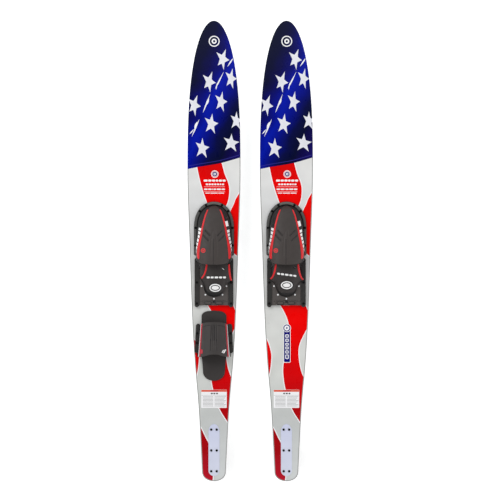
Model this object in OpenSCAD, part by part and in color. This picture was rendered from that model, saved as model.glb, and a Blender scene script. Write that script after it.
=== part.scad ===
// Pair of combo water skis, lying deck up with their tips towards +Y.
// Each ski carries an adjustable boot; the left ski also has a rear toe strap, so it can be ridden alone.
// The origin is on the floor under the middle of the pair: X across, Y along the skis, Z up.
// Millimetres throughout. Places on one ski are measured from its own centre line and mid-length.

/* [Skis] */
// Length of each ski
ski_len = 1727; // [1700:1:1760]
// Widest point of each ski
ski_width = 199; // [192:1:205]
// Distance between the two centre lines
ski_spacing = 272; // [250:1:320]
// Thickness of each ski under the boot
ski_t = 19; // [18:0.5:22]
// Thickness at the tail, where the fin is bolted on
tail_t = 13; // [12:0.5:14]
// Thickness at the tip
tip_t = 9; // [8:0.5:10]
// Height that the tip rises above the running surface
tip_rise = 105; // [80:1:120]
// Depth of the fin below the running surface
fin_depth = 62; // [50:1:70]
// Depth of the two tunnels in the base
tunnel_depth = 2.5; // [1:0.1:3]

/* [Boot] */
// Half width of the toe frame
frame_w = 75.5; // [75:0.1:76]
// Height of the toe cover at its rear edge, above the deck
cover_h = 84; // [80:1:90]
// Wall of the moulded rubber covers
rubber_t = 3.4; // [3:0.1:3.6]
// Pitch of the lock rack, two thirds of a shoe size
rack_pitch = 6; // [6:0.1:6]
// How far the top of the left heel cup leans to one side
left_heel_lean = 10; // [0:0.5:10]

/* [Rear strap] */
// Height of the rear strap at its rear edge, above the deck
strap_h = 66; // [60:1:72]
// Width of the rear foot pad
rear_pad_w = 90; // [84:1:91]

/* [Fasteners] */
// Radius of the machine screws' shanks
screw_r = 2.5; // [2:0.1:2.5]
// Radius of their pan heads
head_r = 4.5; // [4.2:0.1:4.6]
// Radius of the brass inserts in the core
insert_r = 4.5; // [4:0.1:5]

/* [Hidden] */
$fn = 48;

rubber_grey = [0.26, 0.25, 0.24];
near_black = [0.10, 0.10, 0.10];
frame_grey = [0.33, 0.32, 0.31];
plate_grey = [0.32, 0.31, 0.30];
trim_red = [0.75, 0.08, 0.10];
sheet_white = [0.80, 0.80, 0.79];
fin_white = [0.82, 0.84, 0.90];

half_len = ski_len / 2;
base_z = fin_depth;                     // running surface above the floor
deck_z = base_z + ski_t;                // deck under the boot
tail_deck_z = base_z + tail_t;          // deck over the fin
rocker_y = 205;                         // where the tip starts to rise
taper_start = -505;                     // where the tail starts to thin
taper_end = -645;                       // where it is down to tail_t
fin_step_y = -640;                      // the base behind here is raised by fin_step, to take the fin
fin_step = 1;
sheet_t = 1.2;                          // printed top sheet
shell_t = 4;                            // floor of the base shell
rim_t = 5;                              // wall of the base shell round the core
play = 0.2;                             // gap round parts that slide or drop in

// ---------------------------------------------------------------- curves and shells

function mix(a, b, t) = a + (b - a) * t;
function unit(v) = v / norm(v);
function reversed(list) = [for (i = [len(list) - 1:-1:0]) list[i]];

// Slope of a curve through stations [x, y] at station i; the curve leaves its last station level.
function slope(p, i) =
    i == len(p) - 1 ? 0
    : i == 0 ? (p[1][1] - p[0][1]) / (p[1][0] - p[0][0])
    : (p[i + 1][1] - p[i - 1][1]) / (p[i + 1][0] - p[i - 1][0]);

// Smooth cubic through the stations, evaluated at x.
function spline(p, x, i = 0) =
    x > p[i + 1][0] && i < len(p) - 2 ? spline(p, x, i + 1)
    : let (h = p[i + 1][0] - p[i][0], t = (x - p[i][0]) / h, t2 = t * t, t3 = t2 * t)
      (2 * t3 - 3 * t2 + 1) * p[i][1] + (t3 - 2 * t2 + t) * h * slope(p, i)
      + (3 * t2 - 2 * t3) * p[i + 1][1] + (t3 - t2) * h * slope(p, i + 1);

// Share of the full half width at distance t from the rounded end of an outline.
function rounded_end(t, length, power) = sqrt(max(0, 1 - pow(max(0, 1 - t / length), power)));

// Closed shell between two grids of points with the same rows and columns.
module shell(outer, inner) {
    rows = len(outer);
    cols = len(outer[0]);
    function o(r, c) = r * cols + c;
    function i(r, c) = (rows + r) * cols + c;
    function quad(a, b, c, d) = [[a, b, c], [a, c, d]];
    last_r = rows - 1;
    last_c = cols - 1;
    polyhedron(
        points = [for (grid = [outer, inner], row = grid) each row],
        faces = [
            for (r = [0:last_r - 1], c = [0:last_c - 1]) each concat(
                quad(o(r, c), o(r, c + 1), o(r + 1, c + 1), o(r + 1, c)),
                quad(i(r, c), i(r + 1, c), i(r + 1, c + 1), i(r, c + 1))),
            for (c = [0:last_c - 1]) each concat(
                quad(o(0, c + 1), o(0, c), i(0, c), i(0, c + 1)),
                quad(o(last_r, c), o(last_r, c + 1), i(last_r, c + 1), i(last_r, c))),
            for (r = [0:last_r - 1]) each concat(
                quad(o(r, 0), o(r + 1, 0), i(r + 1, 0), i(r, 0)),
                quad(o(r + 1, last_c), o(r, last_c), i(r, last_c), i(r + 1, last_c)))
        ]);
}

module at(points) {
    for (p = points) translate([p[0], p[1], 0]) children();
}

module on_deck(up = 0) {
    translate([0, 0, deck_z + up]) children();
}

// ---------------------------------------------------------------- ski body

tip_len = 560;                          // length of the rounded front
tail_len = 36;                          // length of the rounded tail
waist = [[0, 0.432], [0.07, 0.488], [0.165, 0.583], [0.26, 0.723], [0.347, 0.814], [0.51, 0.915],
         [(ski_len - tip_len) / ski_len, 1]];

// Half width of the ski at distance s from the tail.
function ski_half(s) =
    ski_width / 2 * (s > ski_len - tip_len
        ? rounded_end(ski_len - s, tip_len, 2.75)
        : rounded_end(s, tail_len, 2.4) * spline(waist, s / ski_len));

// Distances from the tail at which the outline is drawn, closer together at both ends.
outline_s = concat(
    [for (i = [1:5]) tail_len * (1 - cos(i * 18))],
    [for (i = [1:16]) mix(tail_len, ski_len - tip_len, i / 16)],
    [for (i = [1:13]) ski_len - tip_len * (1 - sin(i * 90 / 14))]);

module ski_plan(inset = 0) {
    right = [for (s = outline_s) if (ski_half(s) > inset && s > inset && s < ski_len - inset)
        [ski_half(s) - inset, s - half_len]];
    left = [for (p = reversed(right)) [-p[0], p[1]]];
    polygon(concat([[0, inset - half_len]], right, [[0, half_len - inset]], left));
}

// Heights of the running surface and of the deck at a distance y from mid-length.
function running_at(y) = base_z + tip_rise * pow(max(0, y - rocker_y) / (half_len - rocker_y), 2.1);
function base_at(y) = running_at(y) + lookup(y, [[taper_end, fin_step], [fin_step_y, 0]]);
function deck_at(y) =
    running_at(y) + lookup(y, [[-half_len, tail_t], [taper_end, tail_t], [taper_start, ski_t],
                            [rocker_y, ski_t], [half_len, tip_t]]);

side_y = concat([-half_len - 1, taper_end, fin_step_y, taper_start],
                [for (i = [0:13]) mix(rocker_y, half_len + 1, i / 13)]);
function base_line(up) = [for (y = side_y) [y, base_at(y) + up]];
function deck_line(down) = [for (y = side_y) [y, deck_at(y) - down]];

// The part of the ski between two side lines, inside its outline.
module ski_layer(low, high, inset = 0) {
    intersection() {
        translate([0, 0, base_z - 1]) linear_extrude(tip_rise + ski_t + 20) ski_plan(inset);
        translate([-ski_width, 0, 0]) rotate([90, 0, 90]) linear_extrude(2 * ski_width)
            polygon(concat(low, reversed(high)));
    }
}

// Two long shallow tunnels under the ski, each cut by a large cylinder.
tunnel_r = 60;
module tunnels() {
    for (side = [-1, 1])
        translate([side * 34, -615, base_z + tunnel_depth - tunnel_r])
            rotate([-90, 0, 0]) cylinder(r = tunnel_r, h = 800, $fn = 96);
}

// ---------------------------------------------------------------- fastener places on one ski

rail_x = 64.2;
rail_y = [-36, -117, -196];
frame_points = [for (side = [-1, 1]) each
    [[side * 69.2, 88], [side * 69.2, 22], [side * 53.3, 150.5], [side * 30, 172.8]]];
rail_points = [for (side = [-1, 1], y = rail_y) [side * rail_x, y]];
rack_points = [[-7, -133], [7, -133]];
bracket_points = [for (side = [-1, 1]) each [[side * 62.5, -308], [side * 64, -344]]];
fin_points = [for (side = [-1, 1], y = [-826, -747.8, -669.6]) [side * 10.3, y]];
insert_depth = 13;
grip = 11;                              // length of a screw held in its insert

function insert_points(with_rear) =
    concat(frame_points, rail_points, rack_points, with_rear ? bracket_points : []);

module insert_holes(with_rear) {
    on_deck(-insert_depth) at(insert_points(with_rear)) cylinder(r = insert_r, h = insert_depth + 1);
}

module fin_holes() {
    translate([0, 0, base_z - 1]) at(fin_points) cylinder(r = screw_r + play, h = tail_t + 3);
}

module base_shell() {
    color(sheet_white) difference() {
        ski_layer(base_line(0), deck_line(sheet_t));
        ski_layer(base_line(shell_t), deck_line(sheet_t - 0.5), rim_t);
        tunnels();
        fin_holes();
    }
}

module core(with_rear) {
    color("tan") difference() {
        ski_layer(base_line(shell_t), deck_line(sheet_t), rim_t);
        insert_holes(with_rear);
        fin_holes();
    }
}

module top_sheet(with_rear) {
    color(sheet_white) difference() {
        ski_layer(deck_line(sheet_t), deck_line(0));
        insert_holes(with_rear);
        fin_holes();
    }
}

module inserts(with_rear) {
    color("goldenrod") on_deck(-insert_depth) difference() {
        at(insert_points(with_rear)) cylinder(r = insert_r, h = insert_depth);
        translate([0, 0, 1]) at(insert_points(with_rear)) cylinder(r = screw_r + 0.05, h = insert_depth);
    }
}

// Pan-head machine screw pointing down, its head resting at z = 0, with a cross recess.
head_h = 2.4;
module pan_screw(shank) {
    recess = [4.4, 1.1, 2];
    difference() {
        union() {
            cylinder(r = head_r, h = head_h / 2);
            translate([0, 0, head_h / 2]) cylinder(r1 = head_r, r2 = head_r * 0.75, h = head_h / 2);
            translate([0, 0, -shank]) cylinder(r = screw_r, h = shank + 0.1);
        }
        for (turn = [0, 90]) rotate(turn)
            translate([-recess[0] / 2, -recess[1] / 2, head_h - 1.4]) cube(recess);
    }
}

// Bore for a screw whose head sinks into the part, cut from above through height h.
module sunk_bore(h) {
    translate([0, 0, -1]) cylinder(r = screw_r + play, h = h + 2);
    translate([0, 0, h - head_h]) cylinder(r = head_r + 0.3, h = head_h + 1);
}

module sunk_screws(points, h) {
    color(near_black) on_deck(h - head_h) at(points) pan_screw(h - head_h + grip);
}

// ---------------------------------------------------------------- fin

plate_w = 41.5;
plate_y0 = -844;
plate_y1 = -649;
plate_t = 1.6;

// Long plate with a blunt rear end and a slimmer front end.
module capsule(inset = 0) {
    w = plate_w / 2 - inset;
    front = 30;
    rear = 21;
    quarter = [for (a = [0:9:90]) a];
    right = concat(
        [for (a = quarter) [w * sin(a), plate_y0 + inset + rear * (1 - cos(a))]],
        [for (a = quarter) [w * cos(a), plate_y1 - inset - front * (1 - sin(a))]]);
    middle = [for (i = [len(right) - 2:-1:1]) [-right[i][0], right[i][1]]];
    polygon(concat(right, middle));
}

module fin_plate() {
    color(fin_white) difference() {
        translate([0, 0, tail_deck_z]) linear_extrude(plate_t) capsule();
        translate([0, 0, tail_deck_z - 1]) at(fin_points) cylinder(r = screw_r + play, h = plate_t + 2);
    }
}

fin_bite = 6;                           // how far the fin screws reach into the fin
module fin_screws() {
    color(near_black) translate([0, 0, tail_deck_z + plate_t])
        at(fin_points) pan_screw(plate_t + tail_t + fin_bite);
}

// Moulded fin: a raked blade under a flange, with a boss for every screw.
module fin() {
    boss_h = 9;
    blade_t = 5;
    blade = concat(
        [[-836, -1], [-822, -fin_depth]],
        [for (a = [0:10:90]) [-780 + 116 * (1 - cos(a)), -fin_depth + (fin_depth - 1) * pow(sin(a), 1.5)]]);
    color(near_black) difference() {
        union() {
            translate([0, 0, base_z - 3]) linear_extrude(3 + fin_step) capsule(1);
            translate([-blade_t / 2, 0, base_z]) rotate([90, 0, 90]) linear_extrude(blade_t) polygon(blade);
            translate([0, 0, base_z - boss_h]) at(fin_points) cylinder(r = 5, h = boss_h - 1);
        }
        translate([0, 0, base_z - fin_bite - 0.5]) at(fin_points)
            cylinder(r = screw_r + 0.05, h = fin_bite + fin_step + 1);
    }
}

// ---------------------------------------------------------------- toe frame and cover

frame_band = 12.5;
frame_h = 9;
frame_apex = 187;                       // front of the frame
frame_bend = 110;                       // length of its rounded front
limb_end = -9.8;                        // centre of each limb's rounded rear end
flange_t = 3;
flange_w = 2.8;

cover_gap = 0.9;                        // between the frame and the moulded cover

// Half width at y of the frame's outer curve moved inwards by inset.
function frame_half(y, inset) =
    (frame_w - inset) * rounded_end(frame_apex - inset - y, frame_bend - inset, 2.6);

module frame_plan(inset) {
    w = frame_w - inset;
    straight = frame_apex - frame_bend;
    right = [for (q = [90:-7.5:0])
        [w * sin(q), straight + (frame_bend - inset) * pow(cos(q), 2 / 2.6)]];
    left = [for (i = [len(right) - 2:-1:0]) [-right[i][0], right[i][1]]];
    polygon(concat([[w, limb_end]], right, left, [[-w, limb_end]]));
}

module toe_frame() {
    color(frame_grey) on_deck() difference() {
        union() {
            linear_extrude(frame_h) difference() {
                frame_plan(0);
                translate([0, -0.1]) frame_plan(frame_band);
            }
            for (side = [-1, 1]) translate([side * (frame_w - frame_band / 2), limb_end, 0])
                cylinder(r = frame_band / 2, h = frame_h);
        }
        translate([0, -30, -1]) linear_extrude(flange_t + 1 + play) frame_plan(frame_band);
        translate([0, -0.2, -1]) linear_extrude(flange_t + 1 + play)
            frame_plan(frame_band - flange_w - cover_gap);
        for (side = [-1, 1]) translate([side * (frame_w - frame_band - 1), -17, -1])
            translate([side > 0 ? 0 : -flange_w - 1 - cover_gap, 0, 0])
                cube([flange_w + 1 + cover_gap, 10, flange_t + 1 + play]);
        at(frame_points) sunk_bore(frame_h);
    }
}

cover_front = 176.6;
cover_rear = -16.5;
cover_overhang = 29;                    // how far the rear edge leans back at its top
cover_rise = [[0, 0], [9, 0.28], [35, 0.52], [100, 0.78], [160, 0.93], [200, 1]];
cover_bulge = 2.8;

// Point of the toe cover over base station y, at angle a from its right foot, moved outwards by grow.
function cover_point(y, a, grow) =
    let (w = max(2, frame_half(y - grow, frame_band + cover_gap) + grow),
         full = cover_h * spline(cover_rise, max(0, frame_apex - frame_band - y)),
         h = max(0, full + grow - flange_t),
         z = h * pow(sin(a), 2 / cover_bulge),
         back = (cover_front - y) / (cover_front - cover_rear))
    [w * sign(cos(a)) * pow(abs(cos(a)), 2 / cover_bulge),
     y - cover_overhang * pow(back, 3) * z / (cover_h - flange_t),
     (grow < 0 ? 0 : flange_t) + z + (grow < 0 ? min(z, flange_t) : 0)];

cover_y = [for (i = [0:17]) mix(cover_front, cover_rear, pow(i / 17, 1.5))];
cover_a = [for (i = [0:22]) i * 180 / 22];

// One row of the cover: its clamping flange on each side, and the dome between them.
function cover_row(y, grow) =
    let (edge = frame_half(y, frame_band - flange_w), z = grow < 0 ? 0 : flange_t)
    concat([[edge, y, z]], [for (a = cover_a) cover_point(y, a, grow)], [[-edge, y, z]]);

module toe_cover() {
    color(rubber_grey) on_deck()
        shell([for (y = cover_y) cover_row(y, 0)], [for (y = cover_y) cover_row(y, -rubber_t)]);
}

// Red bands over the cover's two shoulders, rising from the frame at the rear to the toe.
piping_a = [[0, 61], [24, 60], [56, 55], [75, 52], [96, 46], [120, 36], [144, 29], [174, 25]];
module toe_piping() {
    front = 155;
    rear = -17;
    band = [-6, -2, 2, 6];
    ys = [for (i = [0:16]) mix(front, rear, i / 16)];
    function grid(side, grow) = [for (y = ys) [for (b = band)
        let (a = spline(piping_a, front - y) + b) cover_point(y, side > 0 ? a : 180 + b * 2 - a, grow)]];
    color(trim_red) on_deck() for (side = [-1, 1]) shell(grid(side, 1.9), grid(side, 0.5));
}

// Foam insole under the toe cover.
module foot_pad() {
    color(rubber_grey) on_deck() linear_extrude(4) difference() {
        frame_plan(frame_band + 12);
        translate([-50, -60]) square([100, 18]);
    }
}

// ---------------------------------------------------------------- rails, rack and carriage

rail_w = 17;
rail_h = 11.5;
rail_y0 = -210;
rail_y1 = -24;
slot_z = 4.9;
plate_low = 5;                          // underside of the carriage plate above the deck
plate_th = 3;
carriage_w = 59;
carriage_y0 = -203;
carriage_y1 = -45;
carriage_top = plate_low + plate_th;

module rail(side) {
    color(near_black) on_deck() difference() {
        translate([side * rail_x, 0, 0]) linear_extrude(rail_h) {
            for (y = [rail_y0 + rail_w / 2, rail_y1 - rail_w / 2]) translate([0, y]) circle(r = rail_w / 2);
            translate([-rail_w / 2, rail_y0 + rail_w / 2]) square([rail_w, rail_y1 - rail_y0 - rail_w]);
        }
        translate([-carriage_w - play, rail_y0 - 1, slot_z])
            cube([2 * (carriage_w + play), rail_y1 - rail_y0 + 2, plate_th + play]);
        at([for (y = rail_y) [side * rail_x, y]]) sunk_bore(rail_h);
    }
}

rack_w = 28;
rack_y0 = -203.4;
rack_teeth_y1 = -143;
rack_y1 = -125;
rack_root = 1.4;
rack_top = 3;

// Toothed strip on the deck: a plain end with two screws, and teeth behind it.
module rack() {
    count = floor((rack_teeth_y1 - rack_y0) / rack_pitch);
    teeth = concat([[rack_y0, 0], [rack_y0, rack_root]],
        [for (i = [0:count - 1]) each [
            [rack_y0 + i * rack_pitch + 2.4, rack_root], [rack_y0 + i * rack_pitch + 3, rack_top],
            [rack_y0 + i * rack_pitch + 5.2, rack_top], [rack_y0 + i * rack_pitch + 5.8, rack_root]]],
        [[rack_teeth_y1, rack_root], [rack_teeth_y1 + 1, rack_top], [rack_y1, rack_top], [rack_y1, 0]]);
    color("silver") on_deck() difference() {
        translate([-rack_w / 2, 0, 0]) rotate([90, 0, 90]) linear_extrude(rack_w) polygon(teeth);
        at(rack_points) {
            translate([0, 0, -1]) cylinder(r = screw_r + play, h = rack_top + 2);
            translate([0, 0, 1]) cylinder(r = head_r + 0.3, h = rack_top);
        }
    }
}

module rack_screws() {
    low_head = 1.6;
    color("silver") on_deck(1) at(rack_points) {
        cylinder(r = head_r, h = low_head);
        translate([0, 0, -1 - grip]) cylinder(r = screw_r, h = grip + 1.1);
    }
}

lever_w = 73;
lever_window = lever_w / 2 + 0.5;       // half width of the openings under and round the lever
pin_y = -187.5;
rivet_points = [[-46.5, -130.5], [46.5, -130.5], [-32, -163], [32, -163], [0, -178]];
rivet_r = 2;

module carriage() {
    nose_w = 51;
    nose_len = 21;
    color(plate_grey) on_deck(plate_low) difference() {
        union() {
            translate([-carriage_w, carriage_y0, 0])
                cube([2 * carriage_w, carriage_y1 - carriage_y0 - nose_len, plate_th]);
            translate([-nose_w, carriage_y0, 0])
                cube([2 * nose_w, carriage_y1 - carriage_y0, plate_th]);
        }
        translate([-lever_window, carriage_y0 - 1, -1])
            cube([2 * lever_window, pin_y - 2 - carriage_y0 + 1, plate_th + 2]);
        translate([0, 0, -1]) at(rivet_points) cylinder(r = rivet_r + 0.05, h = plate_th + 2);
    }
}

// ---------------------------------------------------------------- lock lever on the carriage

lever_y0 = -202.6;
pawl_w = 24;
pin_r = 1.1;
pin_z = carriage_top + 2.9;
knuckle_r = 2.6;
lug_w = 5;
coil_gap = 10;                          // middle of the pin left free for the spring
retainer_t = 3;
retainer_top = carriage_top + retainer_t;

// Rounded bar along X, from x0 to x1, round the lever's pin.
module pin_bar(r, x0, x1) {
    translate([x0, pin_y, pin_z]) rotate([0, 90, 0]) cylinder(r = r, h = x1 - x0);
}

module lock_lever() {
    low = carriage_top + 0.4;
    grip_w = 27;
    grip_d = 8;
    tooth_y = -197.4;                   // middle of the gap that the pawl drops into
    color(near_black) on_deck() difference() {
        union() {
            translate([-lever_w / 2, lever_y0, low]) cube([lever_w, pin_y - lever_y0, retainer_top - low]);
            pin_bar(knuckle_r, -lever_w / 2, lever_w / 2);
            for (side = [-1, 1]) translate([side * 21 - grip_w / 2, -200, retainer_top - 1])
                cube([grip_w, grip_d, 1.8]);
            translate([-pawl_w / 2, 0, 0]) rotate([90, 0, 90]) linear_extrude(pawl_w)
                polygon([[tooth_y - 2.2, low + 1], [tooth_y - 0.9, rack_top + 0.25],
                         [tooth_y + 0.7, rack_top + 0.25], [tooth_y + 2, low + 1]]);
        }
        pin_bar(pin_r + 0.05, -lever_w, lever_w);
        translate([-coil_gap / 2, pin_y - 6, low - 1]) cube([coil_gap, 12, 8]);
    }
}

module lever_pin() {
    color("silver") on_deck() pin_bar(pin_r, -lever_w / 2 - lug_w, lever_w / 2 + lug_w);
}

// Torsion spring: a coil of wire round the pin.
module lever_spring() {
    wire = 0.45;
    coil = pin_r + 0.35 + wire;
    turns = 5;
    pitch = 1.5;
    steps = turns * 12;
    function centre(i) = let (a = i * 30)
        [pitch * i / 12 - pitch * turns / 2, pin_y + coil * cos(a), pin_z + coil * sin(a)];
    function ring(i) = let (a = i * 30, out = [0, cos(a), sin(a)])
        [for (k = [0:5]) centre(i) + wire * (cos(k * 60) * out + sin(k * 60) * [1, 0, 0])];
    points = [for (i = [0:steps]) each ring(i)];
    sides = [for (i = [0:steps - 1], k = [0:5])
        let (a = i * 6 + k, b = i * 6 + (k + 1) % 6) each [[a, b, b + 6], [a, b + 6, a + 6]]];
    ends = [[5, 4, 3, 2, 1, 0], [for (k = [0:5]) steps * 6 + k]];
    color("silver") on_deck() polyhedron(points = points, faces = concat(sides, ends));
}

// ---------------------------------------------------------------- heel

ball_x = [[0, 0], [0.3, 21], [0.55, 34], [0.72, 38.5], [0.85, 46], [1, 63]];
ball_y = [[0, -171], [0.3, -165], [0.55, -150], [0.72, -134], [0.85, -119], [1, -104]];
ball_z = [[0, 0], [0.62, 0], [0.85, 4.5], [1, 9]];
heel_top_w = 41;

// Point of the heel cup: u runs from wing to wing, v from the base to the top edge.
function heel_surface(lean) = function (u, v)
    let (w = abs(u), a = max(0, v) * 90, forward = 1 - cos(a), up = pow(sin(a), 0.85),
         base = [spline(ball_x, w), spline(ball_y, w), carriage_top + max(0, spline(ball_z, w))],
         top = [heel_top_w * w, -50 - 2 * w * w, 47 - 7 * w * w])
    [sign(u) * mix(base[0], top[0], up * mix(forward, 1, 0.5 * w))
        + lean * mix(pow(w, 6) / 2, 1, up),
     mix(base[1], top[1], forward), mix(base[2], top[2], up)];

heel_u = [for (i = [-10:10]) i / 10];
heel_v = [for (i = [0:12]) i / 12];
heel_flange_t = 1.8;
heel_flange_w = 4;

// Direction away from the ball, level, at the base of the cup.
function heel_out(u) =
    let (f = heel_surface(0), w = max(-0.97, min(0.97, u)), d = f(w + 0.01, 0) - f(w - 0.01, 0))
    unit([d[1], -d[0], 0]);

// Outward direction of the cup's wall, level at the base and upright at the top.
function heel_normal(u, v) = cos(90 * v) * heel_out(u) + [0, 0, sin(90 * v)];

function heel_grid(lean, grow) =
    let (f = heel_surface(lean), lift = [0, 0, grow < 0 ? 0 : heel_flange_t])
    concat(
        [[for (u = heel_u) f(u, 0) + lift + heel_out(u) * max(0.6, heel_flange_w * (1 - pow(u / 0.66, 4)))]],
        [[for (u = heel_u) f(u, 0) + lift + heel_out(u) * grow]],
        [for (v = heel_v) if (v > 0) [for (u = heel_u) f(u, v) + heel_normal(u, v) * grow]]);

module heel_cup(lean) {
    color(rubber_grey) on_deck() shell(heel_grid(lean, 0), heel_grid(lean, -rubber_t));
}

// Red edging along the two front edges of the cup.
module heel_piping(lean) {
    f = heel_surface(lean);
    function grid(side, grow) = [for (v = heel_v) if (v > 0.1)
        [for (u = heel_u) if (u * side > 0.75) f(u, v) + heel_normal(u, v) * grow]];
    color(trim_red) on_deck() for (side = [-1, 1]) shell(grid(side, 1.8), grid(side, 0.5));
}

// Outline of the cup's foot, moved outwards by grow.
module heel_plan(lean, grow) {
    f = heel_surface(lean);
    foot = [for (u = heel_u) f(u, 0) + heel_out(u) * grow];
    polygon(concat([for (p = foot) [p[0], p[1]]], [[foot[20][0], -60], [foot[0][0], -60]]));
}

// Moulded cover plate that clamps the cup's flange to the carriage.
module heel_retainer(lean) {
    w = 52.5;
    y1 = -106;
    color(plate_grey) on_deck() difference() {
        union() {
            translate([-w, carriage_y0, carriage_top]) cube([2 * w, y1 - carriage_y0, retainer_t]);
            for (side = [-1, 1]) {
                x = side > 0 ? lever_window : -lever_window - lug_w + 0.5;
                pin_bar(knuckle_r, x, x + lug_w - 0.5);
            }
        }
        translate([0, 0, carriage_top - 1]) linear_extrude(retainer_t + 2) heel_plan(lean, 1.2);
        translate([0, 0, carriage_top - 1]) linear_extrude(heel_flange_t + 1 + play)
            heel_plan(lean, heel_flange_w + 0.4);
        translate([-lever_window, carriage_y0 - 1, carriage_top - 1])
            cube([2 * lever_window, pin_y - carriage_y0 + knuckle_r + 1.4, retainer_t + 4]);
        pin_bar(pin_r + 0.05, -w, w);
        translate([0, 0, carriage_top - 1]) at(rivet_points)
            cylinder(r = rivet_r + 0.05, h = retainer_t + 2);
    }
}

module heel_rivets() {
    height = plate_th + retainer_t;
    head = 3.4;
    color("silver") on_deck(plate_low) at(rivet_points) {
        translate([0, 0, -0.8]) cylinder(r = head, h = 0.8);
        cylinder(r = rivet_r, h = height + 0.1);
        translate([0, 0, height]) cylinder(r1 = head, r2 = head * 0.6, h = 1.3);
    }
}

// Foam pad under the heel.
module heel_pad() {
    r = 28;
    color(rubber_grey) on_deck(carriage_top) linear_extrude(4) {
        translate([0, -132]) circle(r = r);
        translate([-r, -132]) square([2 * r, 84]);
    }
}

// ---------------------------------------------------------------- rear toe strap

rear_pad_y0 = -486;
rear_pad_y1 = -222;
rear_pad_t = 6;

module rear_foot_pad() {
    front_r = 18;
    w = rear_pad_w / 2;
    narrow = w - 5;
    heel_y = rear_pad_y0 + narrow * 0.8;
    right = concat(
        [for (a = [0:10:90]) [narrow * sin(a), heel_y - narrow * 0.8 * cos(a)]],
        [[w, rear_pad_y0 + 110], [w, rear_pad_y1 - front_r]],
        [for (a = [15:15:90]) [w - front_r * (1 - cos(a)), rear_pad_y1 - front_r * (1 - sin(a))]]);
    left = [for (i = [len(right) - 1:-1:1]) [-right[i][0], right[i][1]]];
    color(near_black) on_deck() linear_extrude(rear_pad_t) polygon(concat(right, left));
}

strap_y0 = -278;                        // front edge at the base
strap_y1 = -396;                        // rear edge at the base
strap_flange_w = 3.6;
strap_foot = [50.6, 59.6];              // half width of its base, front and rear

function strap_w(y) = mix(strap_foot[0], strap_foot[1], (y - strap_y0) / (strap_y1 - strap_y0));

function strap_point(y, a, grow) =
    let (w = strap_w(y) + grow, share = (y - strap_y0) / (strap_y1 - strap_y0),
         z = (mix(46, strap_h, share) + grow - flange_t) * pow(sin(a), 2 / 2.5))
    [w * sign(cos(a)) * pow(abs(cos(a)), 2 / 2.5), y + 13 * sin(a),
     (grow < 0 ? min(z, flange_t) : flange_t) + z];

function strap_row(y, grow) =
    let (edge = strap_w(y) + strap_flange_w, z = grow < 0 ? 0 : flange_t)
    concat([[edge, y, z]], [for (i = [0:20]) strap_point(y, i * 9, grow)], [[-edge, y, z]]);

module rear_strap() {
    ys = [for (i = [0:8]) mix(strap_y0, strap_y1, i / 8)];
    color(rubber_grey) on_deck()
        shell([for (y = ys) strap_row(y, 0)], [for (y = ys) strap_row(y, -rubber_t)]);
}

module rear_strap_piping() {
    ys = [for (i = [0:8]) mix(strap_y0 - 1, strap_y1 + 1, i / 8)];
    function grid(side, grow) = [for (y = ys) [for (a = [24, 30, 36])
        strap_point(y, side > 0 ? a : 120 + a, grow)]];
    color(trim_red) on_deck() for (side = [-1, 1]) shell(grid(side, 1.9), grid(side, 0.5));
}

bracket_h = 8;
module rear_bracket(side) {
    y0 = -272;
    y1 = -382;
    inner = [for (y = [y0, y1]) strap_w(y) + 0.5];
    outer = [67.5, 72.5];
    end = 5;
    plan = [[inner[0], y0 - end], [inner[0] + end, y0], [outer[0] - end, y0], [outer[0], y0 - end],
            [outer[1], y1 + end], [outer[1] - end, y1], [inner[1] + 2, y1], [inner[1], y1 + 2]];
    rebate = [for (y = [y0 + 2, y1 - 2]) strap_w(y) + strap_flange_w + play];
    color(near_black) on_deck() difference() {
        linear_extrude(bracket_h) polygon([for (p = plan) [side * p[0], p[1]]]);
        translate([0, 0, -1]) linear_extrude(flange_t + 1 + play)
            polygon([[side * 45, y0 + 2], [side * rebate[0], y0 + 2], [side * rebate[1], y1 - 2],
                     [side * 45, y1 - 2]]);
        at([for (p = bracket_points) if (p[0] * side > 0) p]) sunk_bore(bracket_h);
    }
}

// ---------------------------------------------------------------- assembly

module left() {
    translate([-ski_spacing / 2, 0, 0]) children();
}

module right() {
    translate([ski_spacing / 2, 0, 0]) children();
}

left() base_shell();  // left_base_shell
left() core(true);  // left_core
left() top_sheet(true);  // left_top_sheet
left() inserts(true);  // left_inserts
left() fin();  // left_fin
left() fin_plate();  // left_fin_plate
left() fin_screws();  // left_fin_screws
left() toe_frame();  // left_toe_frame
left() sunk_screws(frame_points, frame_h);  // left_frame_screws
left() toe_cover();  // left_toe_cover
left() toe_piping();  // left_toe_piping
left() foot_pad();  // left_foot_pad
left() rail(-1);  // left_outer_rail
left() rail(1);  // left_inner_rail
left() sunk_screws(rail_points, rail_h);  // left_rail_screws
left() rack();  // left_rack
left() rack_screws();  // left_rack_screws
left() carriage();  // left_carriage
left() heel_pad();  // left_heel_pad
left() heel_cup(left_heel_lean);  // left_heel_cup
left() heel_piping(left_heel_lean);  // left_heel_piping
left() heel_retainer(left_heel_lean);  // left_heel_retainer
left() heel_rivets();  // left_heel_rivets
left() lock_lever();  // left_lock_lever
left() lever_pin();  // left_lever_pin
left() lever_spring();  // left_lever_spring
right() base_shell();  // right_base_shell
right() core(false);  // right_core
right() top_sheet(false);  // right_top_sheet
right() inserts(false);  // right_inserts
right() fin();  // right_fin
right() fin_plate();  // right_fin_plate
right() fin_screws();  // right_fin_screws
right() toe_frame();  // right_toe_frame
right() sunk_screws(frame_points, frame_h);  // right_frame_screws
right() toe_cover();  // right_toe_cover
right() toe_piping();  // right_toe_piping
right() foot_pad();  // right_foot_pad
right() rail(1);  // right_outer_rail
right() rail(-1);  // right_inner_rail
right() sunk_screws(rail_points, rail_h);  // right_rail_screws
right() rack();  // right_rack
right() rack_screws();  // right_rack_screws
right() carriage();  // right_carriage
right() heel_pad();  // right_heel_pad
right() heel_cup(0);  // right_heel_cup
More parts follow.
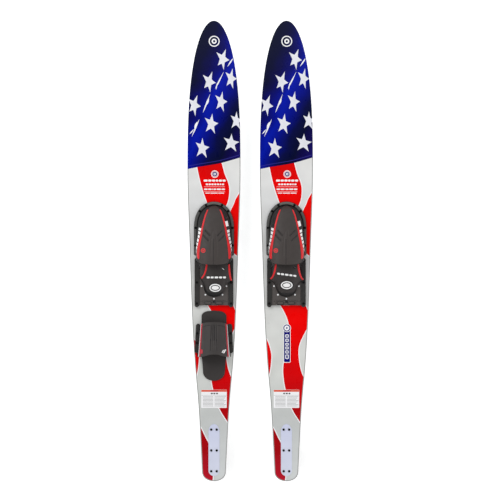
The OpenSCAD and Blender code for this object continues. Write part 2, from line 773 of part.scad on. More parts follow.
right() heel_piping(0);  // right_heel_piping
right() heel_retainer(0);  // right_heel_retainer
right() heel_rivets();  // right_heel_rivets
right() lock_lever();  // right_lock_lever
right() lever_pin();  // right_lever_pin
right() lever_spring();  // right_lever_spring
left() rear_foot_pad();
left() rear_strap();
left() rear_strap_piping();
left() rear_bracket(-1);  // rear_outer_bracket
left() rear_bracket(1);  // rear_inner_bracket
left() sunk_screws(bracket_points, bracket_h);  // rear_bracket_screws
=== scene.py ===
"""Looks of the pair of combo water skis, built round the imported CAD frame.

Lengths are millimetres until a mesh is made. Places on one ski are measured from its own centre line
and mid-length, as in the CAD, with heights above the floor.
"""

import math

import bmesh
import bpy
import numpy as np
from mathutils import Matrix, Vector
from mathutils.geometry import delaunay_2d_cdt


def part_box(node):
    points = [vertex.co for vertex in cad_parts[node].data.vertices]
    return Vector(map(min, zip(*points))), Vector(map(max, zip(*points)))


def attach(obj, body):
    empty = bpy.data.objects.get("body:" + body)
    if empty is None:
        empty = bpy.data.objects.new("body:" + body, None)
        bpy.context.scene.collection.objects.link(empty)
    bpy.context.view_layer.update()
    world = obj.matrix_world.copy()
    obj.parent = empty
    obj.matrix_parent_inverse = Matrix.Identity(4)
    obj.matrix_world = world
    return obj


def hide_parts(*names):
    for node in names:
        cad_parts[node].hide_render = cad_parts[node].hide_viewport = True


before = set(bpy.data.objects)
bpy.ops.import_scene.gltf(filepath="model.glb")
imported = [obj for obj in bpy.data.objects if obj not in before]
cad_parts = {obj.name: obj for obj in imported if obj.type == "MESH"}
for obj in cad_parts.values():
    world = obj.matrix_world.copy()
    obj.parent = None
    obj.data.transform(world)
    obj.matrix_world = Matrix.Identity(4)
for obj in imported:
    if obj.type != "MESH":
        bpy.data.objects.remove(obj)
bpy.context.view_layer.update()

MM = 0.001
SIDES = ("left", "right")


# ---- dimensions, from the frame

def box_mm(node):
    """Lowest and highest corner of a CAD node, in millimetres."""
    low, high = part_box(node)
    return np.array(low) / MM, np.array(high) / MM


def middle_x(node):
    low, high = box_mm(node)
    return (low[0] + high[0]) / 2


CENTRE = {side: middle_x(side + "_base_shell") for side in SIDES}
SHELL_LOW, SHELL_HIGH = box_mm("left_base_shell")
SKI_LEN = SHELL_HIGH[1] - SHELL_LOW[1]
HALF_LEN = SKI_LEN / 2
HALF_WIDTH = (SHELL_HIGH[0] - SHELL_LOW[0]) / 2
BASE_Z = SHELL_LOW[2]
DECK = box_mm("left_toe_frame")[0][2]
TAIL_DECK = box_mm("left_fin_plate")[0][2]
TOP_Z = box_mm("left_top_sheet")[1][2]
SKI_T = DECK - BASE_Z
TAIL_T = TAIL_DECK - BASE_Z
TIP_T = 9
ROCKER_Y = 205
TIP_RISE = TOP_Z - BASE_Z - TIP_T
TAPER = (-645, -505)
FIN_STEP_Y = -640
FIN_STEP = 1
SHEET_T = 1.2
TIP_LEN = 560
TAIL_LEN = 36
WAIST = [(0, 0.432), (0.07, 0.488), (0.165, 0.583), (0.26, 0.723), (0.347, 0.814), (0.51, 0.915),
         ((SKI_LEN - TIP_LEN) / SKI_LEN, 1)]


# ---- curves

def mix(a, b, t):
    return a + (b - a) * t


def spline(stations, x):
    """Smooth cubic through the stations (x, y), level at the last one, for an array of x."""
    xs = np.array([s[0] for s in stations], float)
    ys = np.array([s[1] for s in stations], float)
    slopes = np.zeros(len(xs))
    slopes[0] = (ys[1] - ys[0]) / (xs[1] - xs[0])
    slopes[1:-1] = (ys[2:] - ys[:-2]) / (xs[2:] - xs[:-2])
    x = np.asarray(x, float)
    i = np.clip(np.searchsorted(xs, x) - 1, 0, len(xs) - 2)
    h = xs[i + 1] - xs[i]
    t = (x - xs[i]) / h
    t2, t3 = t * t, t * t * t
    return ((2 * t3 - 3 * t2 + 1) * ys[i] + (t3 - 2 * t2 + t) * h * slopes[i]
            + (3 * t2 - 2 * t3) * ys[i + 1] + (t3 - t2) * h * slopes[i + 1])


def rounded_end(t, length, power):
    share = np.clip(1 - np.asarray(t, float) / length, 0, None)
    return np.sqrt(np.clip(1 - share ** power, 0, None))


def smooth_line(points, per_span=8):
    """Points along a smooth open curve through the given ones."""
    p = np.array(points, float)
    p = np.vstack([2 * p[0] - p[1], p, 2 * p[-1] - p[-2]])
    out = []
    for i in range(1, len(p) - 2):
        for t in np.arange(per_span) / per_span:
            out.append(0.5 * (2 * p[i] + (p[i + 1] - p[i - 1]) * t
                              + (2 * p[i - 1] - 5 * p[i] + 4 * p[i + 1] - p[i + 2]) * t ** 2
                              + (3 * p[i] - p[i - 1] - 3 * p[i + 1] + p[i + 2]) * t ** 3))
    return np.array(out + [p[-2]])


def lookup(stations, x):
    """Straight lines through the stations (x, y)."""
    return np.interp(x, *zip(*stations))


def columns(*parts):
    return np.column_stack(parts)


def mirrored(right):
    """Closed loop from its right half, whose first and last points are on the centre line."""
    return np.vstack([right, right[-2:0:-1] * (-1, 1)])


def circle(x, y, r, n=32):
    a = np.arange(n) * 2 * math.pi / n
    return columns(x + r * np.cos(a), y + r * np.sin(a))


def ellipse(x, y, rx, ry, n=40):
    return (circle(0, 0, 1, n) * (rx, ry)) + (x, y)


def rounded_rect(x0, y0, x1, y1, r, n=5):
    """Closed loop round a rectangle whose corners have radius r."""
    corners = [(x1 - r, y0 + r, -90), (x1 - r, y1 - r, 0), (x0 + r, y1 - r, 90), (x0 + r, y0 + r, 180)]
    out = []
    for cx, cy, start in corners:
        for a in np.radians(np.linspace(start, start + 90, n + 1)):
            out.append((cx + r * math.cos(a), cy + r * math.sin(a)))
    return np.array(out)


def unit(v):
    return v / np.maximum(np.linalg.norm(v, axis=-1, keepdims=True), 1e-9)


def inset(loop, d):
    """A counter-clockwise loop moved inwards by d, or outwards by a negative d."""
    p = np.asarray(loop, float)
    back = unit(p - np.roll(p, 1, 0))
    ahead = unit(np.roll(p, -1, 0) - p)
    left_back = columns(-back[:, 1], back[:, 0])
    n = unit(left_back + columns(-ahead[:, 1], ahead[:, 0]))
    stretch = 1 / np.clip((n * left_back).sum(1), 0.6, 1)
    return p + n * (d * stretch)[:, None]


def ccw(loop):
    """The loop, turned counter-clockwise."""
    p = np.asarray(loop, float)
    q = np.roll(p, -1, 0)
    return p if (p[:, 0] * q[:, 1] - q[:, 0] * p[:, 1]).sum() > 0 else p[::-1]


# ---- mesh building

def link(name, data):
    """A new object in the scene for a mesh, a lamp or a camera."""
    made = bpy.data.objects.new(name, data)
    bpy.context.scene.collection.objects.link(made)
    return made


def add_mesh(points, faces, materials, marks=None, sharp=40, weighted=True):
    """A mesh object from points in millimetres, smooth but for edges sharper than the given angle.

    marks gives each face's material as a place in the list of materials.
    """
    mesh = bpy.data.meshes.new("piece")
    mesh.from_pydata([tuple(p) for p in np.asarray(points) * MM], [], faces)
    for m in materials:
        mesh.materials.append(m)
    if marks is not None:
        mesh.polygons.foreach_set("material_index", np.asarray(marks, np.int32))
    mesh.validate()
    solid = bmesh.new()
    solid.from_mesh(mesh)
    bmesh.ops.recalc_face_normals(solid, faces=solid.faces)
    solid.to_mesh(mesh)
    solid.free()
    mesh.polygons.foreach_set("use_smooth", np.ones(len(mesh.polygons), bool))
    mesh.set_sharp_from_angle(angle=math.radians(sharp))
    mesh.update()
    piece = link("piece", mesh)
    if weighted:
        piece.modifiers.new("even_shading", "WEIGHTED_NORMAL").keep_sharp = True
    return piece


def distance_to(loops, points):
    """Distance from each point to the nearest loop."""
    best = np.full(len(points), 1e9)
    for loop in loops:
        a = np.asarray(loop, float)
        ab = np.roll(a, -1, 0) - a
        length2 = np.maximum((ab ** 2).sum(1), 1e-12)
        rel = points[:, None, :] - a[None]
        t = np.clip((rel * ab).sum(2) / length2, 0, 1)
        best = np.minimum(best, np.linalg.norm(rel - t[..., None] * ab, axis=2).min(1))
    return best


def plan_triangles(outline, holes, paint, lines, points):
    """Triangles of a plan with holes. paint lists (loop, material), and a later loop covers earlier ones."""
    loops = [outline] + list(holes) + [ccw(loop) for loop, _ in paint]
    coords, edges, faces = [], [], []
    for loop in loops:
        faces.append(list(range(len(coords), len(coords) + len(loop))))
        coords += [Vector(p) for p in loop]
    for line in lines:
        start = len(coords)
        coords += [Vector(p) for p in line]
        edges += [(start + i, start + (i + 1) % len(line)) for i in range(len(line))]
    coords += [Vector(p) for p in points]
    out = delaunay_2d_cdt(coords, edges, faces, 1, 1e-3, True)
    flat = np.array([v[:] for v in out[0]])
    triangles, painted = [], []
    for face, held in zip(out[2], out[5]):
        if 0 not in held or any(1 <= h <= len(holes) for h in held):
            continue
        a, b, c = flat[face[0]], flat[face[1]], flat[face[2]]
        turn = (b[0] - a[0]) * (c[1] - a[1]) - (b[1] - a[1]) * (c[0] - a[0])
        triangles.append(tuple(face) if turn > 0 else tuple(face)[::-1])
        painted.append(paint[max(held) - 1 - len(holes)][1] if max(held) > len(holes) else 0)
    used = sorted({i for t in triangles for i in t})
    place = {old: new for new, old in enumerate(used)}
    return flat[used], [tuple(place[i] for i in t) for t in triangles], painted


def closed(triangles, n):
    """Faces of the solid between n points' upper triangles and the same points repeated below."""
    edges = {(t[i], t[(i + 1) % 3]) for t in triangles for i in range(3)}
    return (triangles + [(c + n, b + n, a + n) for a, b, c in triangles]
            + [(b, a, a + n, b + n) for a, b in edges if (b, a) not in edges])


def lattice(outline, dx, dy):
    """Points of a lattice inside an outline's box, away from its edges."""
    low, high = np.min(outline, 0), np.max(outline, 0)
    xs = np.arange(low[0] + dx / 2, high[0], dx)
    ys = np.arange(low[1] + dy / 2, high[1], dy)
    grid = np.array([(x, y) for y in ys for x in xs])
    return grid[distance_to([outline], grid) > min(dx, dy) / 2]


def plan_solid(outline, top, bottom, materials, insets=(), paint=(), lines=(), points=(), wall_mark=0,
               place=None, rim=None):
    """A closed solid over a plan. top and bottom give heights from x, y and distance to the edge.

    rim is (width, mark, spared) of a band along the outline that covers all but the spared paint.
    """
    outline = ccw(outline)
    loops = [inset(outline, d) for d in insets]
    flat, triangles, marks = plan_triangles(outline, [], list(paint), loops + list(lines), points)
    d = distance_to([outline], flat)
    points = np.vstack([columns(flat, side(flat[:, 0], flat[:, 1], d)) for side in (top, bottom)])
    if rim:
        middles = flat[np.array(triangles)].mean(1)
        marks = [rim[1] if near < rim[0] and mark not in rim[2] else mark
                 for near, mark in zip(distance_to([outline], middles), marks)]
    faces = closed(triangles, len(flat))
    marks += [wall_mark] * (len(faces) - len(marks))
    return add_mesh(place(points) if place else points, faces, materials, marks)


def rounded(d, r):
    """How far a rounded edge of radius r has dropped at distance d from the side."""
    inner = np.clip(r - d, 0, r)
    return r - np.sqrt(np.clip(r * r - inner * inner, 0, None))


def bevel_insets(r, steps=4):
    """Distances from the side at which a rounded edge gets a loop."""
    return [r * (1 - math.cos(a)) for a in np.linspace(0, math.pi / 2, steps + 2)[1:]]


def plate(outline, low, high, r, material, low_r=0.4):
    """A flat plate with rounded upper and lower edges."""
    return plan_solid(outline, lambda x, y, d: high - rounded(d, r), lambda x, y, d: low + rounded(d, low_r),
                      [material], [0.12] + bevel_insets(r))


def shell_faces(rows, cols, start):
    """Faces of a closed shell between two grids of points numbered from start, the outer ones first."""
    outer = start + np.arange(rows * cols).reshape(rows, cols)
    inner = outer + rows * cols
    faces = []
    for a, b, c, d in ((outer[:-1, :-1], outer[:-1, 1:], outer[1:, 1:], outer[1:, :-1]),
                       (inner[:-1, :-1], inner[1:, :-1], inner[1:, 1:], inner[:-1, 1:]),
                       (outer[0, 1:], outer[0, :-1], inner[0, :-1], inner[0, 1:]),
                       (outer[-1, :-1], outer[-1, 1:], inner[-1, 1:], inner[-1, :-1]),
                       (outer[:-1, 0], outer[1:, 0], inner[1:, 0], inner[:-1, 0]),
                       (outer[1:, -1], outer[:-1, -1], inner[:-1, -1], inner[1:, -1])):
        faces += np.stack([a, b, c, d], -1).reshape(-1, 4).tolist()
    return faces


def shells(parts, materials, marks=None):
    """A mesh of closed shells, each between two grids. marks gives one per cell of the first outer grid."""
    points, faces = [], []
    for outer, inner in parts:
        faces += shell_faces(*outer.shape[:2], len(points))
        points += [*outer.reshape(-1, 3), *inner.reshape(-1, 3)]
    all_marks = np.zeros(len(faces), int)
    if marks is not None:
        all_marks[:marks.size] = marks.ravel()
    return add_mesh(points, faces, materials, all_marks, 50, weighted=False)


def normals_of(points):
    """Outward unit normals of a grid of points whose rows and columns turn like the shells'."""
    return unit(np.cross(np.gradient(points, axis=1), np.gradient(points, axis=0)))


def finish_piece(piece, side, name, body, slot, *stands_for):
    """Puts a piece built on a ski's own centre line in place, riding on one of its bodies."""
    piece.location.x = CENTRE[side] * MM
    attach(piece, "%s_%s" % (side, body))
    if stands_for:
        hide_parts(*stands_for)
    piece.name = name


def pair_piece(piece, side, name, body, slot, *stands_for):
    """finish_piece for a piece of both skis. The names leave out the side."""
    finish_piece(piece, side, "%s_%s" % (side, name), body, slot,
                 *("%s_%s" % (side, node) for node in stands_for))


# ---- materials

def srgb(r, g, b):
    """Linear colour of an 8-bit sRGB one."""
    return tuple(c / 255 / 12.92 if c < 11 else ((c / 255 + 0.055) / 1.055) ** 2.4 for c in (r, g, b))


def make(tree, kind, inputs=None, **settings):
    """A shader node with its settings and inputs, each input a value or another node's output."""
    made = tree.nodes.new("ShaderNode" + kind)
    for key, value in settings.items():
        setattr(made, key, value)
    for key, value in (inputs or {}).items():
        if isinstance(value, bpy.types.NodeSocket):
            tree.links.new(value, made.inputs[key])
        else:
            made.inputs[key].default_value = value
    return made


def noise(tree, where, size, low, high, detail=3.0, spread=0.2):
    """Soft noise with features of the given size in millimetres, between low and high."""
    raw = make(tree, "TexNoise", {"Vector": where, "Scale": 1 / size, "Detail": detail}).outputs[0]
    return make(tree, "MapRange", {"Value": raw, "From Min": 0.5 - spread, "From Max": 0.5 + spread,
                                   "To Min": low, "To Max": high}).outputs[0]


def along(direction, stops, wander=0, wander_size=60):
    """A colour that follows stops (place in millimetres, sRGB colour) along a direction."""
    def colour(tree, where):
        place = make(tree, "VectorMath", {0: where, 1: direction}, operation="DOT_PRODUCT").outputs[1]
        if wander:
            drift = noise(tree, where, wander_size, -wander, wander, 2)
            place = make(tree, "Math", {0: place, 1: drift}, operation="ADD").outputs[0]
        first, last = stops[0][0], stops[-1][0]
        share = make(tree, "MapRange", {"Value": place, "From Min": first, "From Max": last}).outputs[0]
        ramp = make(tree, "ValToRGB", {"Fac": share})
        elements = ramp.color_ramp.elements
        for at, rgb in stops[1:-1]:
            elements.new((at - first) / (last - first)).color = srgb(*rgb) + (1,)
        elements[0].color = srgb(*stops[0][1]) + (1,)
        elements[-1].color = srgb(*stops[-1][1]) + (1,)
        return ramp.outputs["Color"]
    return colour


def surface(name, colour, rough, drift=0.05, grain=None, metal=0, cells=False, coat=0, specular=0.35,
            size=70, gloss_spread=0.05, stretch=(1, 1, 1)):
    """A material whose tone and gloss drift a little over size. grain is its relief's depth and size."""
    made = bpy.data.materials.new(name)
    made.use_nodes = True
    tree = made.node_tree
    shader = tree.nodes["Principled BSDF"]
    raw = make(tree, "TexCoord").outputs["Object"]
    where = make(tree, "VectorMath", {0: raw, "Scale": 1 / MM}, operation="SCALE").outputs[0]
    base = colour(tree, where) if callable(colour) else srgb(*colour)
    gain = noise(tree, where, size, 1 - drift, 1 + drift, 1.5)
    tone = make(tree, "VectorMath", {0: base, "Scale": gain}, operation="SCALE").outputs[0]
    tree.links.new(tone, shader.inputs["Base Color"])
    gloss = noise(tree, where, size / 3, rough - gloss_spread, rough + gloss_spread)
    tree.links.new(gloss, shader.inputs["Roughness"])
    shader.inputs["Metallic"].default_value = metal
    shader.inputs["Specular IOR Level"].default_value = specular
    shader.inputs["Coat Weight"].default_value = coat
    shader.inputs["Coat Roughness"].default_value = 0.12
    if grain:
        drawn = make(tree, "Mapping", {"Vector": where, "Scale": stretch}).outputs[0]
        kind = "TexVoronoi" if cells else "TexNoise"
        relief = make(tree, kind, {"Vector": drawn, "Scale": 1 / grain[1]}).outputs[0]
        bump = make(tree, "Bump", {"Height": relief, "Strength": 0.6, "Distance": grain[0] * MM})
        tree.links.new(bump.outputs["Normal"], shader.inputs["Normal"])
    return made


FOLD = (0.902, -0.433, 0)               # across the diagonal folds of the print
BLUE_FOLDS = [(-400, (8, 14, 38)), (-350, (4, 8, 48)), (-322, (4, 5, 70)), (-295, (4, 7, 98)),
              (-268, (2, 14, 130)), (-246, (1, 22, 156)), (-222, (1, 16, 138)), (-196, (2, 10, 106)),
              (-166, (3, 8, 62)), (-136, (3, 8, 44)), (-112, (10, 5, 66)), (-70, (20, 12, 92))]
RED_FOLDS = [(-864, (184, 28, 48)), (-760, (160, 8, 18)), (-700, (152, 2, 10)), (-640, (165, 4, 12)),
             (-520, (194, 5, 12)), (-420, (212, 2, 5)), (-300, (230, 1, 1)), (0, (232, 1, 1)),
             (180, (232, 2, 1)), (330, (206, 5, 6))]
LIGHT_FOLDS = [(-864, (200, 203, 203)), (-640, (190, 193, 192)), (-420, (206, 208, 204)),
               (-200, (212, 213, 211)), (200, (214, 215, 215)), (360, (219, 219, 217))]
ALONG_SKI = (0, 1, 0)

PRINT = [
    surface("print_light", along(ALONG_SKI, LIGHT_FOLDS, 40, 130), 0.32, coat=0.15),
    surface("print_blue", along(FOLD, BLUE_FOLDS, 12, 90), 0.3, 0.08, size=90, coat=0.08, specular=0.1),
    surface("print_red", along(ALONG_SKI, RED_FOLDS, 30, 80), 0.3, 0.06, coat=0.1, specular=0.1),
    surface("print_white", (238, 238, 240), 0.32, 0.02, coat=0.25),
    # painted shade: grey for the deck's rounded edge and the sheet's walls
    surface("edge_painted_shade", (146, 147, 145), 0.4, 0.03),
    surface("print_navy", (8, 8, 108), 0.3, coat=0.08, specular=0.1),
    surface("label_orange", (214, 70, 22), 0.4),
    surface("label_ink", (136, 138, 136), 0.5),
    surface("print_hem", (52, 50, 140), 0.3, coat=0.08, specular=0.1),
    surface("star_white", (222, 223, 230), 0.32, 0.05, size=25, coat=0.25),
    surface("label_head", (74, 72, 74), 0.5),
]
LIGHT, BLUE, RED, WHITE, EDGE_SHADE, NAVY, ORANGE, INK, HEM, STAR, HEAD = range(len(PRINT))

PLATE_TONES = [(-850, (206, 210, 226)), (-745, (203, 207, 226)), (-645, (198, 203, 226))]

BASE_WHITE = surface("base_white", (232, 234, 234), 0.38, 0.03, (0.02, 3))
FOAM_CORE = surface("foam_core", (205, 180, 120), 0.9, 0.05, (0.3, 1.5), cells=True)
BRASS = surface("brass", (190, 150, 70), 0.3, 0.05, (0.02, 0.6), metal=1)
RAIL_BLACK = surface("rail_black", (44, 43, 42), 0.42, 0.1, (0.05, 0.5), cells=True)
FRAME_GREY = surface("frame_grey", (82, 82, 80), 0.45, 0.08, (0.06, 0.5), cells=True)
# Painted highlight: paler grey where the frame's nose ridge catches the light.
FRAME_HIGHLIGHT = surface("frame_painted_highlight", (98, 96, 92), 0.45, 0.06, (0.06, 0.5), cells=True)
# Black of the frame's lowered inner lip, partly its own colour and partly painted shade; also painted shade
# on the walls, the outline band and the screw recesses.
FRAME_LIP_AND_SHADE = surface("frame_lip_and_shade", (14, 14, 14), 0.5, 0.1, (0.05, 0.5))
RETAINER_GREY = surface("retainer_grey", (76, 71, 69), 0.48, 0.06, (0.06, 0.45), cells=True)
CARRIAGE_GREY = surface("carriage_grey", (86, 82, 80), 0.45, 0.06, (0.03, 0.6))
LEVER_GREY = surface("lever_grey", (74, 70, 68), 0.4, 0.06, (0.05, 0.4), cells=True)
FIN_SILVER = surface("fin_silver", along(ALONG_SKI, PLATE_TONES), 0.36, 0.03, (0.02, 1.2),
                     stretch=(1, 0.08, 1))
FIN_BLACK = surface("fin_black", (24, 24, 25), 0.38, 0.08, (0.04, 0.6))
BLACK_SCREW = surface("black_screw", (18, 18, 19), 0.32, 0.15, metal=0.4, size=3)
STEEL = surface("steel", (188, 190, 193), 0.26, 0.06, (0.02, 0.25), metal=1, size=8)
DARK_STEEL = surface("dark_steel", (58, 58, 60), 0.35, 0.08, metal=1, size=4)
RIVET_STEEL = surface("rivet_steel", (244, 245, 246), 0.34, 0.05, (0.01, 0.3), metal=0.15, size=5)
BOOT_RUBBER = surface("boot_rubber", (57, 51, 49), 0.55, 0.07, (0.09, 0.7), size=45, gloss_spread=0.08)
# Heel rubber, and also painted shade in the toe cover's grooves.
HEEL_RUBBER_AND_SHADE = surface("heel_rubber_and_shade", (45, 40, 39), 0.52, 0.08, (0.09, 0.7), size=30)
# Black of the toe cheeks, emblem field, eyelet and lever borders; also painted shade at the heel's base and
# in the rear strap's seams.
PANEL_BLACK_AND_SHADE = surface("panel_black_and_shade", (19, 18, 19), 0.6, 0.15, (0.14, 0.9))
STRAP_RUBBER = surface("strap_rubber", (52, 48, 47), 0.55, 0.07, (0.09, 0.7), size=40)
PAD_RUBBER = surface("pad_rubber", (47, 43, 42), 0.6, 0.08, (0.12, 1.1), size=50, cells=True)
FOAM_PAD = surface("foam_pad", (38, 36, 36), 0.85, 0.1, (0.25, 1.3), cells=True)
TRIM_RED = surface("trim_red", (208, 22, 30), 0.4, 0.08, (0.04, 0.8), size=25)
DEEP_RED = surface("deep_red", (176, 26, 46), 0.42, 0.08, (0.04, 0.8), size=20)
MARK_WHITE = surface("mark_white", (232, 232, 232), 0.45, 0.03)


# ---- ski body

RIM_T = 5
SHELL_T = 4
KEEL_EDGE_R = 3.5
TUNNEL_X, TUNNEL_R, TUNNEL_DEPTH = 34, 60, 2.5
TUNNEL_Y, TUNNEL_RUN_OUT = (-615, 185), 25


def ski_half(y):
    """Half width of the ski at y from mid-length."""
    s = np.asarray(y, float) + HALF_LEN
    rear = rounded_end(s, TAIL_LEN, 2.4) * spline(WAIST, np.minimum(s / SKI_LEN, WAIST[-1][0]))
    return HALF_WIDTH * np.where(s > SKI_LEN - TIP_LEN, rounded_end(SKI_LEN - s, TIP_LEN, 2.75), rear)


def ski_outline():
    s = np.concatenate([TAIL_LEN * (1 - np.cos(np.radians(np.arange(6, 91, 7)))),
                        np.linspace(TAIL_LEN, SKI_LEN - TIP_LEN, 70)[1:],
                        SKI_LEN - TIP_LEN * (1 - np.sin(np.radians(np.linspace(0, 90, 60)[1:-1])))])
    y = s - HALF_LEN
    return mirrored(np.vstack([[(0, -HALF_LEN)], columns(ski_half(y), y), [(0, HALF_LEN)]]))


def running_at(y):
    return BASE_Z + TIP_RISE * (np.maximum(0, y - ROCKER_Y) / (HALF_LEN - ROCKER_Y)) ** 2.1


def base_at(y):
    return running_at(y) + np.interp(y, [TAPER[0], FIN_STEP_Y], [FIN_STEP, 0])


def deck_at(y):
    return running_at(y) + np.interp(y, [-HALF_LEN, TAPER[0], TAPER[1], ROCKER_Y, HALF_LEN],
                                     [TAIL_T, TAIL_T, SKI_T, SKI_T, TIP_T])


def base_body(side):
    """Moulded shell: running surface with two tunnels, and a wall all round that carries the deck."""
    def top(x, y, d):
        return np.where(d < RIM_T + 0.02, deck_at(y) - SHEET_T, base_at(y) + SHELL_T)

    def bottom(x, y, d):
        arc = np.sqrt(np.clip(TUNNEL_R ** 2 - (np.abs(x) - TUNNEL_X) ** 2, 0, None))
        tunnel = np.clip(arc - TUNNEL_R + TUNNEL_DEPTH, 0, None)
        ends = [np.clip(gap / TUNNEL_RUN_OUT, 0, 1) for gap in (y - TUNNEL_Y[0], TUNNEL_Y[1] - y)]
        return base_at(y) + rounded(d, KEEL_EDGE_R) + tunnel * ends[0] * ends[1]

    outline = ski_outline()
    piece = plan_solid(outline, top, bottom, [BASE_WHITE],
                       bevel_insets(KEEL_EDGE_R) + [RIM_T, RIM_T + 0.06], points=lattice(outline, 5.5, 12))
    pair_piece(piece, side, "hull", "ski", "base", "base_shell")


# ---- print on the deck

STAR_TIPS = np.array([(-24, 27), (12, 39), (25, -3), (4, -40), (-19, -23)], float)
LEANING_TIPS = np.array([(-24.5, 22), (1, 39), (27, 4.6), (17, -36), (-21, -30)], float)


def star(x, y, lean=0.0, wide=1.0, tall=1.0):
    """Five-armed star drawn as if on waving cloth, with arms that curve in a little."""
    tips = mix(STAR_TIPS, LEANING_TIPS, lean)
    inner = (tips + np.roll(tips, -1, 0)) / 2 * 0.52
    loop = []
    for i in range(5):
        a, b, c = tips[i], inner[i], tips[(i + 1) % 5]
        loop += [a, a * 0.45 + b * 0.51, b, c * 0.45 + b * 0.51]
    return np.array(loop) * (wide, tall) + (x, y)


STARS = [star(33, 719.5), star(-18, 635), star(64, 647, 0.45, 0.85), star(27, 561, 0.55, 0.9),
         star(-74, 547), star(-10, 478, 0.75), star(84, 490, 1, 0.87, 0.9), star(-44, 387, 1),
         star(64.8, 406.6, 1, 1.12, 0.9), star(104, 590, 0.5, 0.5, 0.45)]


def spindle(a, b, width, bulge=0.5):
    """Thin stroke from a to b, widest at the share bulge of its length."""
    a, b = np.array(a, float), np.array(b, float)
    across = unit(np.array([a[1] - b[1], b[0] - a[0]]))
    t = np.linspace(0, 1, 9)
    half = across * (width / 2 * np.sin(np.pi * t ** (math.log(0.5) / math.log(bulge))) + 0.25)[:, None]
    centre = a + (b - a) * t[:, None]
    return np.vstack([centre + half, (centre - half)[::-1]])


CREASES = [spindle((72, 724), (51, 693), 4.5, 0.45), spindle((36.8, 673), (5, 610), 4.5, 0.6),
           spindle((12, 632), (8, 606), 3), spindle((-14, 590), (-41, 521), 4.5, 0.55),
           spindle((-19, 574), (-29, 548), 8), spindle((-55, 496), (-83, 431), 4.5, 0.5),
           spindle((-63, 486), (-73, 460), 8), spindle((-76, 458), (-91, 440), 3.5)]


RIBBON_W = 6.4              # across the white border of a stripe
RIM_W = 3.2                 # of the grey band round the print, painted shade of its rounded edge
DECK_EDGE_R = 1.1


def ribbon(line, width):
    """Closed loop of the given width along a line."""
    p = np.asarray(line, float)
    side = unit(np.gradient(p, axis=0))[:, ::-1] * (-1, 1) * width / 2
    return np.vstack([p + side, (p - side)[::-1]])


HEM_LINE = smooth_line([(-112, 308), (-93, 310), (-63, 316), (-20, 323), (28.5, 332), (95, 351), (112, 356)])
STRIPE_1_LEFT = smooth_line([(-68, 345), (-63, 316), (-56, 282), (-46, 243), (-27, 186), (-8, 140)])
STRIPE_1_RIGHT = smooth_line([(16, 365), (28.5, 332), (40, 291), (54, 255), (57.5, 226), (54, 195),
                              (45, 170), (28, 140)])
STRIPE_2_LEFT = smooth_line([(112, 250), (95, 219), (81, 195), (74, 176), (62, 150), (52, 110), (48, 60),
                             (54, 22), (76, -8), (88, -17), (112, -26)])
STRIPE_3_LEFT = smooth_line([(-60, -150), (-22, -204), (-3, -238), (8, -271), (13, -314), (7.5, -371),
                             (-8, -413), (-12, -437), (-11, -470), (-3, -518), (20, -589), (51, -641),
                             (75, -680)])
STRIPE_3_RIGHT = smooth_line([(40, -150), (60, -188), (72, -204), (80, -224), (83, -250), (79, -284),
                              (72, -300), (54, -336), (46, -365), (46, -398), (52, -437), (63, -470),
                              (80, -505), (100, -560)])
LENS_RIGHT = smooth_line([(-98, -295), (-74, -331), (-64, -356), (-57, -386), (-57, -410), (-61, -445),
                          (-69, -480), (-80, -505)])
TAIL_RIGHT = smooth_line([(-66, -636), (-47, -668), (-32, -699), (-18, -728), (-12, -770), (-8, -823),
                          (-4, -847), (-8, -875)])


def bars(x0, x1, y, height, counts, gap=2.0):
    """A row of plain rounded bars of the given relative lengths between x0 and x1."""
    width = (x1 - x0 - gap * (len(counts) - 1)) / sum(counts)
    out, x = [], x0
    for count in counts:
        end = x + width * count
        out.append(rounded_rect(x, y - height / 2, end, y + height / 2, min(height, end - x) * 0.4, 3))
        x = end + gap
    return out


def roundel(x, y, *rings):
    """Paint for discs of the given radius and mark, each over the one before."""
    return [(circle(x, y, r), mark) for r, mark in rings]


def painted(mark, *boxes):
    """Paint of one mark for rounded boxes x0, y0, x1, y1, radius."""
    return [(rounded_rect(*box), mark) for box in boxes]


def badge_paint(side):
    """Plain roundels and rows of bars in place of lettering."""
    paint = roundel(1, 787, (20.5, WHITE), (16.6, BLUE), (9.6, WHITE), (4.4, BLUE))
    paint += roundel(3, 290, (14, WHITE), (11.8, RED), (10.4, WHITE), (8.8, NAVY), (4.8, WHITE), (2, NAVY))
    for row in ((-39, 44, 265.5, 7.5, (5, 4, 4, 3, 4, 4)), (-31, 38, 251.5, 6, (3, 3, 3, 3, 3, 2, 3), 1.8),
                (-37, 41, 242.5, 0.9, (1,)), (-37, 41, 233, 5.5, (4, 4, 1, 3, 5, 4)),
                (-37, 41, 224, 0.9, (1,)), (-32, 38, 218.5, 3.2, (3, 5, 4))):
        paint += [(bar, WHITE) for bar in bars(*row)]
    if side == "right":
        paint += painted(WHITE, (-11, -418, 15.5, -292, 4)) + painted(NAVY, (-9, -416, 13.5, -296, 3))
        paint += roundel(1.5, -288, (15.5, WHITE), (13.2, NAVY), (9.6, WHITE), (3.2, NAVY))
        for y, length in ((-318, 13), (-334, 12), (-349, 11), (-363, 11), (-378, 12), (-396, 17)):
            y0, y1 = y - length / 2, y + length / 2
            paint += painted(STAR, (-4.5, y0, 9, y1, 4)) + painted(NAVY, (-0.8, y0 + 3.2, 5.2, y1 - 3.2, 2))
    return paint


def label_paint():
    """Blank care label: a coloured head, three dark blocks and two columns of grey lines."""
    paint = painted(WHITE, (-48, -588, 48, -520, 2)) + painted(ORANGE, (-47.5, -527.5, 47.5, -520.8, 1))
    paint += painted(RED, (-14, -527, 16, -521.3, 1))
    paint += [(bar, HEAD) for bar in bars(-12, 15, -534, 5.5, (1, 1, 1), 2.5)]
    lines = bars(-47, 47, -540.6, 1.0, (1,))
    for i in range(8):
        for x0, x1 in ((-42, -3), (2, 45 - 4 * (i % 3))):
            lines += bars(x0, x1, -546 - i * 5, 1.5, (1,))
    return paint + [(line, INK) for line in lines]


